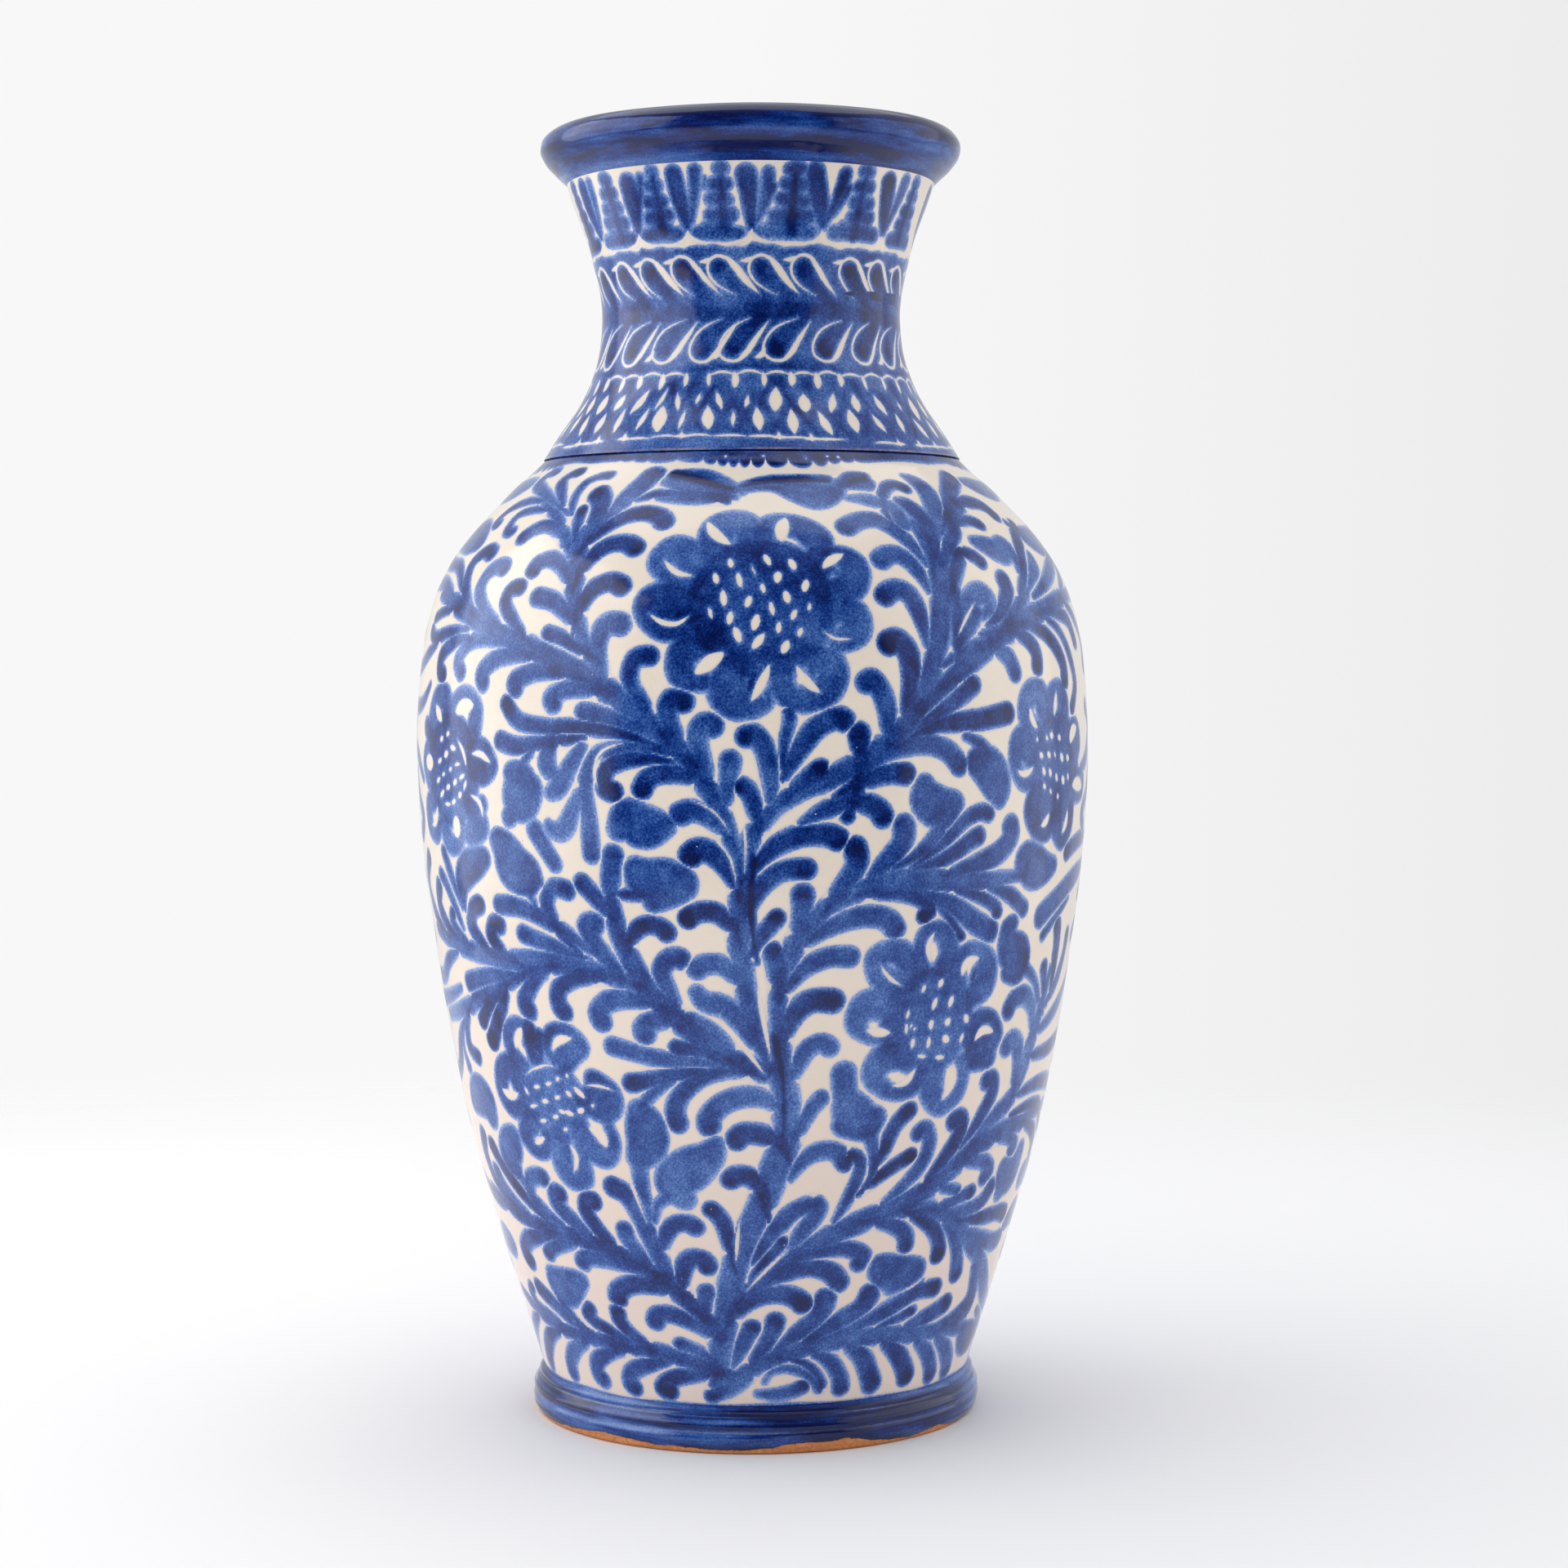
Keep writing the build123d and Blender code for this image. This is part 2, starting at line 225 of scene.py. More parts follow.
    (2, 6, -27, 149.8, -34, 152.8, -38.6, 155, -41.2, 156.4),
    (3, 6.4, -26, 151, -33, 158.6, -37.4, 162.4, -42, 164.4, -46.4, 164.4),
    (3, 6, -29, 151, -33.6, 159, -35.4, 165.6, -34, 170.4, -31, 170.1),
    (3, 6.4, -42, 147, -47.6, 150.4, -49.6, 155, -48.6, 158.4, -47.2, 158.5),
    (3, 6.4, -48, 147.6, -53.4, 152.4, -55.6, 157.6, -54.8, 161.8, -52.4, 163.8),
    (2.5, 5, -59, 156, -61.6, 163, -64, 169, -66, 171.4),
    (2.5, 5, -58, 162, -61, 171, -63.4, 178.6),
    (2.5, 5, -56, 150.4, -61.4, 154.4, -63.4, 158, -62.7, 160),
    (3, 6, -60, 151.6, -67, 156.6, -69.6, 162.4, -68.2, 167.6),
    (3, 6, -66, 152, -74, 159, -77, 167, -73.5, 175.6),
    (2.5, 6.6, -42, 144.4, -51, 142.6, -59.6, 139.4),
    (2, 3.4, -44, 142.8, -52, 139, -59, 135),
    (2.5, 6.4, -46, 141, -52.6, 134.6, -56.4, 128.6),
    (2, 3.6, -47, 141, -49.4, 134, -51, 128),
    (2.5, 5.4, -60, 133, -64.4, 125, -64.6, 118.6, -61.4, 116.2),
    (3, 5.6, -62, 149, -69, 144.6, -74, 139.4, -79, 138.4),
    (3, 5.6, -64, 137, -71, 133.4, -78, 131.6, -84, 131),
    (3, 5.6, -62, 130, -69, 121, -74, 112, -79, 108),
    (2.5, 5.8, -2, 119.6, -9, 120.8, -16, 121.6, -21, 123.4, -24.6, 124.8),
    (2.5, 6, 0, 118, -4.6, 121.6, -8.4, 124, -12.6, 124.8),
    (2.5, 6, -4, 118.6, -10, 117.8, -15, 116.2, -19, 114.6, -21.6, 114),
    (3, 7, -47, 140, -50.4, 131, -54, 122.8),
    (3, 6.4, 1.4, 117, -3.6, 118.4, -8.8, 116.4, -12.8, 110.6, -13.8, 105.4, -13.4, 102.6),
    (3, 7, 6.6, 103, 3, 109.6, -1.8, 110.6, -5.6, 108, -7.7, 104, -7.7, 102),
    (3, 7, 7, 91, 4.8, 97.2, 1.6, 99.4, -1.6, 99.6, -2.8, 98),
    (3, 6.6, 3, 73, 2, 81.4, 0, 86.2, -2.6, 87, -4, 86),
    (2.5, 5.6, -3.6, 57, -4.8, 67, -6.2, 73.4, -8, 76.4),
    (2.5, 6, -20.4, 57, -18.8, 65.4, -16, 71, -13.2, 72, -11.5, 70.8),
    (2.5, 6.4, -15.4, 47, -15.2, 55.6, -13.2, 60.8, -10.6, 60.8, -9.4, 58.9),
    (3, 6, -10.6, 39, -10.9, 46, -10, 50.4),
    (3, 7, -12, 42, -17.6, 53, -20.4, 63.4, -22.5, 72.6, -25, 79.6, -27.8, 81.8),
    (3, 6, -20, 54, -24, 61, -26.4, 66, -26.7, 68.6),
    (3, 7, -12, 47.4, -20, 51.6, -27, 51.6, -31, 48.6, -31.5, 46.8),
    (3, 6.6, -14, 50, -25, 57, -33.4, 58.8, -38, 58.4, -39.3, 56.9),
    (3, 6.4, -27, 59, -32.8, 67, -35.4, 73.4, -34.4, 77, -33.2, 76.8),
    (3, 7, -34, 64, -39, 69, -43, 74.4, -43, 77.6, -42, 77.4),
    (3, 6.4, -40, 65.6, -47, 70.4, -51, 75.6, -50.4, 80.2, -47.6, 82, -45.8, 81.9),
    (2.5, 6, -46, 66.6, -54, 74.8, -60.4, 83, -63.2, 88.4),
    (3, 7, -49, 66, -57.6, 70, -63.4, 76.4, -64.6, 79.6),
    (3, 6.8, -42, 64.6, -51, 62.8, -57.6, 60, -61, 55.6, -59.7, 53),
    (3, 6, -35, 64, -43.4, 62, -49, 59, -50.2, 57.4),
    (3, 6, -58, 69.6, -67, 76.6, -69, 84.6, -67.4, 91),
    (3, 6, -62, 68.6, -71, 70.4, -78, 74.4, -84, 80),
    # low leaves that rise from the side stems
    (3, 6.4, -9, 36, -13.4, 40.2, -18.6, 42.9, -22, 42.2, -22.7, 40.4),
    (2.5, 5.4, -8, 27.6, -13.4, 31.4, -17.2, 33.2),
    (3, 6, -22, 30, -28.6, 33.8, -32, 38.6, -32.4, 42),
    (2.5, 5.6, -27, 31, -35.6, 35, -39.8, 37.4, -41.6, 40, -40.7, 41.4),
    (3, 6.4, -37, 31.4, -47, 35.6, -54, 40.6, -59.4, 44.4),
    (2.5, 5, -48, 32, -57, 35.6, -63.6, 38, -65.4, 41.6, -64.3, 43.2),
    (3, 6.2, -1.6, 26, 2.6, 33.6, 4.4, 39, 4.8, 41.4),
    (2.5, 6, -5, 27, -2, 35.6, -0.4, 39.2),
    (3, 7.2, 4.6, 31.6, 10.4, 37.6, 14.8, 43.2, 15.7, 48),
    (3, 7.4, 11, 34, 19, 40, 24.8, 44.6, 26.1, 48.4),
    (3, 6.4, 22, 36.4, 32, 42.4, 38.6, 47, 44.2, 47.2),
    (2, 4.4, 28, 36.6, 34.4, 39.2, 38.4, 40.9),
    (2.5, 7, 35, 34.8, 43, 37.8, 49.4, 41),
    # fringe above the foot
    (3.5, 5.6, -1, 23.5, -6, 19.6, -10.3, 17.4),
    (3, 6.4, -7, 24.4, -15, 23.8, -20.8, 21.8, -23.2, 18.6, -21.9, 18),
    (3, 6.2, -18, 28.2, -26, 26.2, -31.8, 22.6, -33, 19, -32, 17.9),
    (3, 6.4, -29, 30.4, -37, 28.6, -42.8, 24, -43.4, 20, -42.1, 18.6),
    (3, 6.4, -42, 31, -49, 28, -53.9, 22, -54.5, 18.4),
    (3, 6.8, -54, 32, -61.4, 28.6, -66.6, 22.6, -68.6, 18.4),
    (3, 6.6, -65, 35, -73, 29, -78, 22.6, -80, 18.4),
    (2, 4, 2.6, 21.8, 4, 25, 8, 26.3, 12.8, 24, 15.4, 20.8, 16.4, 19.2),
    (3, 5.2, 1, 18.2, 6, 17.9, 10, 19, 12, 20.2),
    (2, 4, 4, 29.8, 11, 28.2, 15.4, 23.6, 16.8, 19.8),
    (2.5, 5.8, 10, 32.6, 17.6, 28.6, 21.2, 22.6, 22, 18.8),
    (3, 7, 20, 34, 26.4, 28.6, 29.2, 22.8, 30.7, 18.9),
    (3, 7, 30, 34, 36.6, 28, 40.2, 22.4, 41.5, 19.4),
    (3, 6.4, 40, 33, 46.6, 27, 50.2, 21.2, 51.4, 17.8),
    (3, 7, 48, 32, 54.6, 26, 58.2, 20.8, 59, 17.9),
    (3, 6.6, 68, 35, 75, 29, 79.4, 22.6, 81, 18.2),
    # lower right
    (3, 6, 21, 71.6, 28.6, 70, 32.6, 66, 33.2, 62.6),
    (3, 6.4, 31, 73.6, 39, 68, 42.3, 62, 42.9, 58),
    (3, 6.4, 42, 69, 48.4, 60.4, 50.2, 53.6, 50.8, 50.4),
    (3, 6, 46, 68, 55.6, 66.8, 63.6, 66.8, 67.4, 65.4),
    (3, 7, 50, 64.6, 59, 59, 65, 57, 69, 57.4),
    (3, 6.4, 38, 72.6, 47.4, 70.6, 53.4, 72, 56.2, 76.4),
    (2.5, 5.4, 34, 73, 42.4, 73.6, 47, 75.6, 49, 76.2),
    (2, 4.6, 33, 79.2, 40, 79.6, 44.4, 77.4),
    (3, 6, 38, 83.6, 45.6, 86.6, 51.4, 85.2, 53.8, 81.6, 52.7, 80.2),
    (3, 6, 46, 90.6, 55.6, 92.4, 60.4, 90.8, 62.4, 87.8, 61.6, 86.8),
    (3, 6, 5, 57.4, 14.6, 63.2, 20, 63.2, 23.2, 60.6, 22.6, 58.6),
    (3, 6.8, -3.6, 47, 4.6, 55.4, 11.4, 58.2, 16.4, 56.2, 18.4, 52.9),
    (3, 6.8, -6.4, 39, -1.4, 47.4, 3.6, 50.2, 8.4, 49.2, 10.9, 46.6),
    (2, 5, -1, 54, 2.6, 60.4, 5, 64.2, 5.9, 66.2),
    (3, 6.4, 0, 60, 4.6, 70.4, 7.8, 75.4, 11.2, 77.6),
    (2.5, 6.4, 6.4, 62, 10.6, 70.6, 12.6, 76.4, 12.2, 77.6),
    (2.5, 5.2, 6.4, 92, 8.8, 102, 11, 107.6, 12.3, 109.8),
    (2.5, 6, 5.4, 110, 7.6, 119, 9.8, 124.8, 12, 126.2, 13.4, 125),
    (3, 7.4, 5.2, 125, 6.8, 134, 9.6, 138.4, 13.7, 138.5),
    (3, 6.4, 5.4, 141, 8.6, 148, 12.4, 151.2, 16.3, 151.3),
    (3, 7, 7.6, 154, 13, 160.4, 18.4, 163, 22.4, 161.8, 24, 159),
    (3, 7, 6.6, 148, 7.8, 157.4, 8.4, 164.6, 8.3, 169.6),
    (3, 6.6, 4.6, 138, 4.4, 147, 3.7, 153),
    (2.5, 5.4, -1, 150, 1.6, 157.4, 4.2, 163),
    (3, 6.4, -1, 162, 1.4, 171.4, 4.6, 176.2, 8.8, 177),
    (3, 7, -1, 174, 3.6, 183, 8, 186.6, 12.6, 186.4, 13.8, 185.4),
    (3, 7.4, 10.4, 160, 14.6, 170.6, 17, 178, 16.7, 182.6),
    (2.5, 6, 3.6, 193, 7.6, 201, 11, 205.5),
    # right and left edges, towards the back
    (3, 5.6, 62, 128, 68, 134, 73, 143, 74, 151),
    (3, 6, 60, 122, 69, 126, 77, 132, 84, 140),
    (3, 6, 60, 116, 70, 116, 79, 118, 87, 121),
    (3, 6, 58, 104, 68, 106, 77, 105, 85, 102),
    (3, 5.6, 58, 98, 68, 99.4, 75, 97, 79, 91),
    (3, 6, 62, 94.6, 70, 92.6, 75.6, 87, 77, 80.6),
    (3, 6, 70, 255.4, 77, 249, 81, 241.6, 80.6, 234),
    (3, 6, 72, 256, 79, 262, 84, 270, 84, 277),
    (3, 6, 70, 201, 78, 206, 82, 214, 79, 221),
    (3, 6, 82, 203, 80, 195, 76, 188.6, 78, 184),
    (3, 6, -73, 200, -78, 207, -83, 212, -82, 218),
    (3, 6, -80, 203, -79, 195, -75.6, 188, -78, 183),
]

# FILLS: broader shapes laid with several touches of the brush: (angle, height, width) at each point.
FILLS = [
    (-1.6, 285, 3, -5, 287.4, 5, -10, 290.2, 5.4, -15, 290.6, 5, -18.4, 290, 3.4),
    (-1.4, 287.2, 3, 4, 288.6, 4.6, 11, 289, 4.8, 18, 289.2, 3.6),
    (-1, 285.6, 2.6, 5, 286.4, 3.6, 10, 284.4, 7, 14, 283, 8.6, 18, 285, 7, 20.6, 288, 4.6),
    (20.5, 287, 4, 24, 289.4, 6.6, 27.6, 290.4, 3.6),
    (21, 283.4, 2.6, 26, 282.8, 5.6, 30, 281, 6.4, 31, 276, 6.4),
    (33.6, 262, 4, 35.8, 271, 7, 36.4, 277.6, 8, 34.6, 281.6, 6.4, 32.8, 282.8, 3.6),
    (37, 271, 4, 40.4, 279, 7, 42.6, 285.4, 8.4, 41.4, 288.8, 6.6, 38.9, 290.6, 2.6),
    (46.6, 271, 4.4, 49.5, 269.6, 8, 53, 268.2, 10, 56, 269.6, 8.4, 57, 267, 6, 56, 262, 3),
    (37.4, 247, 3, 39.8, 253.6, 6.8, 43.2, 255.4, 8, 44.6, 252.6, 6.8, 42.4, 248.6, 3.4),
    (55.6, 255.4, 2, 60, 260.4, 4.8, 63.4, 264.4, 6.6, 64.2, 267, 4.4),
    (64, 277, 4, 69, 273, 9.6, 75, 272, 12, 80, 274, 8, 83, 277, 4),
    (61, 289.5, 4.6, 66, 288.4, 8.6, 72, 287.6, 9.6, 80, 288.6, 6.4),
    (-64.6, 271.4, 6, -69, 273.4, 13, -75, 274.4, 13, -81, 272.4, 6),
    (-65.4, 289.6, 6.6, -70, 288.6, 10, -77, 287.8, 10, -83, 288.6, 6),
    # two solid leaves left of the trunk
    (-21, 188.6, 8, -19.6, 192, 10.6, -17, 189.2, 13.4, -14, 189.4, 8.6, -12.6, 190, 5.2),
    (-18.4, 176.8, 8, -16.4, 173.6, 13, -13, 173.6, 13, -10.4, 173.2, 8, -10.2, 170.6, 5.6, -15.6, 167.6, 7),
    (-22, 170, 3.4, -20, 169.4, 4, -17.5, 169.4, 4),
    (-45.4, 183.8, 8, -43.6, 180.6, 12, -42, 176, 15, -39.2, 173.4, 12, -41, 171.2, 7.4, -36.8, 172.2, 5),
    (-41.2, 203.4, 8, -39.6, 201, 13, -39.6, 196.4, 15, -37.6, 199.2, 10, -42.4, 190.8, 6.6),
    (-39.2, 206, 3, -37.6, 209.4, 3.6, -34.6, 213.6, 4),
    (-38.8, 172, 4, -38.4, 166.4, 3.6, -35.4, 160, 3),
    (-36.9, 187.4, 6.4, -35, 182.4, 5.8, -33.1, 177.6, 5.4),
    (-27.2, 201, 3.4, -29.2, 193, 6, -31.4, 187.4, 6.6, -33.8, 188.2, 4.4, -34, 189.4, 3),
    (-27.4, 211.4, 4.6, -29.6, 205.6, 6, -32, 199.8, 6.8, -33.2, 198.4, 5),
    (-30.4, 214.4, 4, -33.4, 211.4, 6, -33.8, 206, 6.6, -32.6, 203.8, 4.6),
    (-9, 141.4, 5, -7.6, 138.6, 6.4, -5, 137.6, 7, -2.6, 134.4, 6.6, 0.4, 127, 4.6),
    (-57.4, 162, 3, -57.6, 169, 8, -55, 174.2, 11.4, -51.6, 176.8, 10, -49.7, 178, 7.4),
    # solid leaves round the right-hand stem
    (38.6, 206.4, 9, 41, 204.8, 13, 43.2, 199.6, 12, 43.7, 195.4, 6.4),
    (36.4, 214, 3.2, 39.6, 211.4, 4.4, 41.6, 207, 6),
    (28.4, 200.2, 7, 29, 196, 11.6, 31.8, 193.4, 12.4, 34, 194.4, 8, 32.6, 190.6, 7.6),
    (23, 176.6, 3, 28, 180.6, 5, 31.4, 186.6, 6),
    (50.4, 172.6, 5, 51.8, 176.4, 11.4, 54, 174.4, 14.4, 58, 173.4, 10.4, 61.2, 174, 6),
    (49.6, 158, 6, 47.8, 157, 5, 49.8, 150, 12.4, 52.2, 148, 13.4, 52.6, 144.4, 11.4, 49.8, 143.4, 7),
    (54.6, 144, 4.6, 59, 139.4, 4, 61.6, 133, 4.6),
    (16.2, 116.8, 8, 16.8, 110, 8.6, 18.6, 104.4, 13, 21, 101.4, 11, 16.6, 101.6, 7.4, 22.4, 102.8, 8.6),
    (22, 98, 5, 23.4, 89, 4.6, 21.8, 82, 3.6),
    (60, 81.4, 8, 62, 78.4, 13, 65, 78.6, 12, 66.6, 86, 6.4, 61, 73.6, 7),
    (27.4, 57.6, 6.6, 29, 55.4, 11.4, 33, 53.6, 12.6, 36.8, 54, 9, 31.4, 50.4, 7),
    (47, 33, 5, 54, 34.4, 7.4, 60, 37.6, 9.4, 61, 42, 7.4, 59.6, 47.6, 6, 58, 51, 4),
    (61.6, 30, 5, 66, 26.4, 12, 72, 25.4, 11.4),
    (46.4, 86, 3, 44.8, 90, 4, 50, 94, 5),
    # solid leaves at the lower left
    (-20.6, 105.6, 7.6, -19.6, 101, 13, -19.6, 96, 13, -21.6, 91.4, 8),
    (-21.6, 89, 5.6, -21.5, 81, 5, -20.6, 73, 3.4), (-19.6, 108, 4, -17.2, 112, 4.2, -13, 116, 3.6),
    (-6.6, 96.4, 6, -8.2, 92.4, 10, -12, 88.4, 14, -15, 84.6, 12, -13.2, 79.6, 7.6),
    (-16.6, 79.6, 4.4, -18.8, 77, 3.6, -19.8, 72, 3),
    (-53, 93, 9, -54.6, 90, 13, -56, 86.6, 12, -54.6, 83, 8),
    (-53.4, 80.6, 5, -51, 76, 5, -49, 71, 3),
    (-60, 98, 8, -61.6, 103, 13.4, -65, 103.6, 14, -68.4, 101, 8),
    (-67.4, 112, 5, -68.6, 118, 3.4, -66, 124, 3),
    (-50.6, 50, 8, -48, 47, 14, -43, 49.6, 9, -41, 50.6, 6, -50, 43, 7),
    (-50, 41, 5, -47, 37.6, 3.6, -42, 34, 3),
    (-70, 56, 10, -73, 57, 11, -77, 56, 7),
    (70, 60, 4, 76, 64, 10, 80, 62, 8),
    (74, 76, 10, 79, 77, 10, 84, 76, 5),
    # touches that close the washes
    (-18.6, 288.4, 4.6, -14, 287.4, 8.6, -8, 285.6, 8.4, -3.6, 283.8, 4.6), (-20, 283.6, 2.4, -14, 283, 4.4, -6, 282.8, 4), (22.4, 288, 5.4, 27, 288, 6.6), (8, 287, 3, 13, 286.8, 4, 18, 286.8, 3),
    (36, 241, 6, 39, 247, 7, 41, 250, 5), (35.6, 236, 5, 36.5, 248, 6, 37, 262, 5),
    (9.4, 272, 4, 10.4, 270, 4), (14.4, 262.2, 3.4, 15.2, 261, 3), (13.4, 246.4, 3.6, 13.2, 244.4, 3), (9.6, 234, 3.6, 10, 230, 3.4),
    (0.2, 228.4, 4, 0.6, 232, 4), (54.2, 222.6, 3, 54.8, 219, 3.4), (62.2, 225, 2.6, 61.9, 221, 2.8), (41.2, 145, 3.4, 40.8, 142.6, 3.4),
]

# STEMS: (angle, height, width) at each point.
STEMS = [
    (-9.4, 18, 5, -8, 30, 8, -6.2, 42, 8, -4.6, 54, 8.4, -2.2, 65, 8.6, 1.2, 76, 8.6, 4, 88, 9.6, 6.2, 98, 9.4, 6, 110, 8.6, 5, 120, 8,
     4.8, 130, 6, 4.6, 142, 6, 6, 152, 6.4, 9.4, 161, 6.6, 15, 168.6, 7, 23, 172.6, 8, 32, 172.4, 8, 42, 171.4, 6.6, 49, 172, 4),
    (4.2, 119, 6, 1.6, 128, 6.4, -0.6, 140, 6.4, -1.6, 152, 7, -1.9, 163, 7, -1, 175, 7, 0, 185, 6.4, 3, 193, 5.6, 8, 200, 7, 13.6, 203.6, 7.4,
     19, 209, 7.6, 25, 217, 8, 29, 228, 7.4, 32, 242, 8, 34, 256, 8, 34.8, 268, 8, 33.8, 276, 5),
    (-0.6, 172, 4, -3.6, 188, 6, -6.4, 200, 7, -10, 209.4, 7.6, -16, 219, 8, -23, 228, 8, -31, 235, 8, -40, 241, 8, -50, 246.4, 7.6,
     -60, 252.4, 7.4, -72, 257, 5),
    (-21.6, 225, 4, -25.6, 236, 5.4, -28.8, 246, 6, -30.7, 256, 7, -32, 266, 8, -33, 274, 6),
    (-36, 270, 4, -42, 278.4, 5, -50, 283, 4),
    (2, 118, 7, -3, 121.6, 7.4, -8.6, 128, 8, -14, 136, 8, -18, 143, 8, -20.6, 152, 7, -22.4, 161, 6.6, -23, 168, 6),
    (-14, 137, 5, -19, 142.6, 6, -26, 146.2, 7, -35, 148.4, 8, -45, 147.8, 7.6, -55, 149.4, 7, -64, 151, 6.6, -74, 154, 5),
    (-35, 148, 4, -44, 143, 5.4, -54, 136, 6, -64, 130.6, 6, -76, 127, 5),
    (-7.4, 36, 6, -13.6, 46.4, 7, -22, 56, 7.4, -30, 61, 7.6, -40, 64.6, 7.6, -50, 66, 7, -60, 68.6, 6.4, -72, 73, 5),
    (-6, 24, 6, -15, 28, 6.6, -25, 30.6, 6.8, -38, 31.6, 6.8, -50, 32.2, 6.4, -62, 35, 6, -74, 40, 5),
    (-8, 19, 5, 0, 26.6, 6.4, 8, 31, 7, 18, 34, 7.4, 30, 34.6, 7.4, 42, 33, 7, 52, 32, 6.4, 62, 30.6, 5),
    (16, 35, 3, 25, 39, 5.4, 33, 44.6, 5, 40, 49.6, 3),
    (-5.6, 42, 5, -1, 51, 6, 6, 59, 6.8, 13, 65.4, 7.6, 21, 71, 8, 30, 75.4, 8, 38, 81, 8, 45.6, 88.6, 8, 54, 93.4, 7.6, 64, 95, 7, 76, 97, 5.4, 86, 97, 4),
    (18, 69.4, 4, 28, 73.8, 6.4, 38, 72.8, 7, 46, 68, 7, 52, 61, 7, 60, 53, 7, 66, 45, 7.4, 72, 38, 7, 80, 33, 5),
    (45, 89, 4, 51, 98, 6.4, 57, 104, 7.4, 60, 114, 8, 62, 124, 8, 64, 132, 6, 66, 142, 4),
    (21, 209, 4, 29, 223.6, 6, 37, 234.4, 7.4, 45.6, 243, 8, 54, 248, 8, 63, 251.6, 7, 73, 255, 6, 83, 256, 4),
    (35, 262, 5, 39.6, 270, 6.4, 45, 277.6, 6.4, 52, 283, 4),
    (34, 250, 4, 37.4, 259, 5, 42, 268, 4),
    (45, 243, 4, 51, 250.6, 6, 56, 256, 4.4),
    (48, 172, 3, 50, 172.6, 5, 52, 174, 6),
]

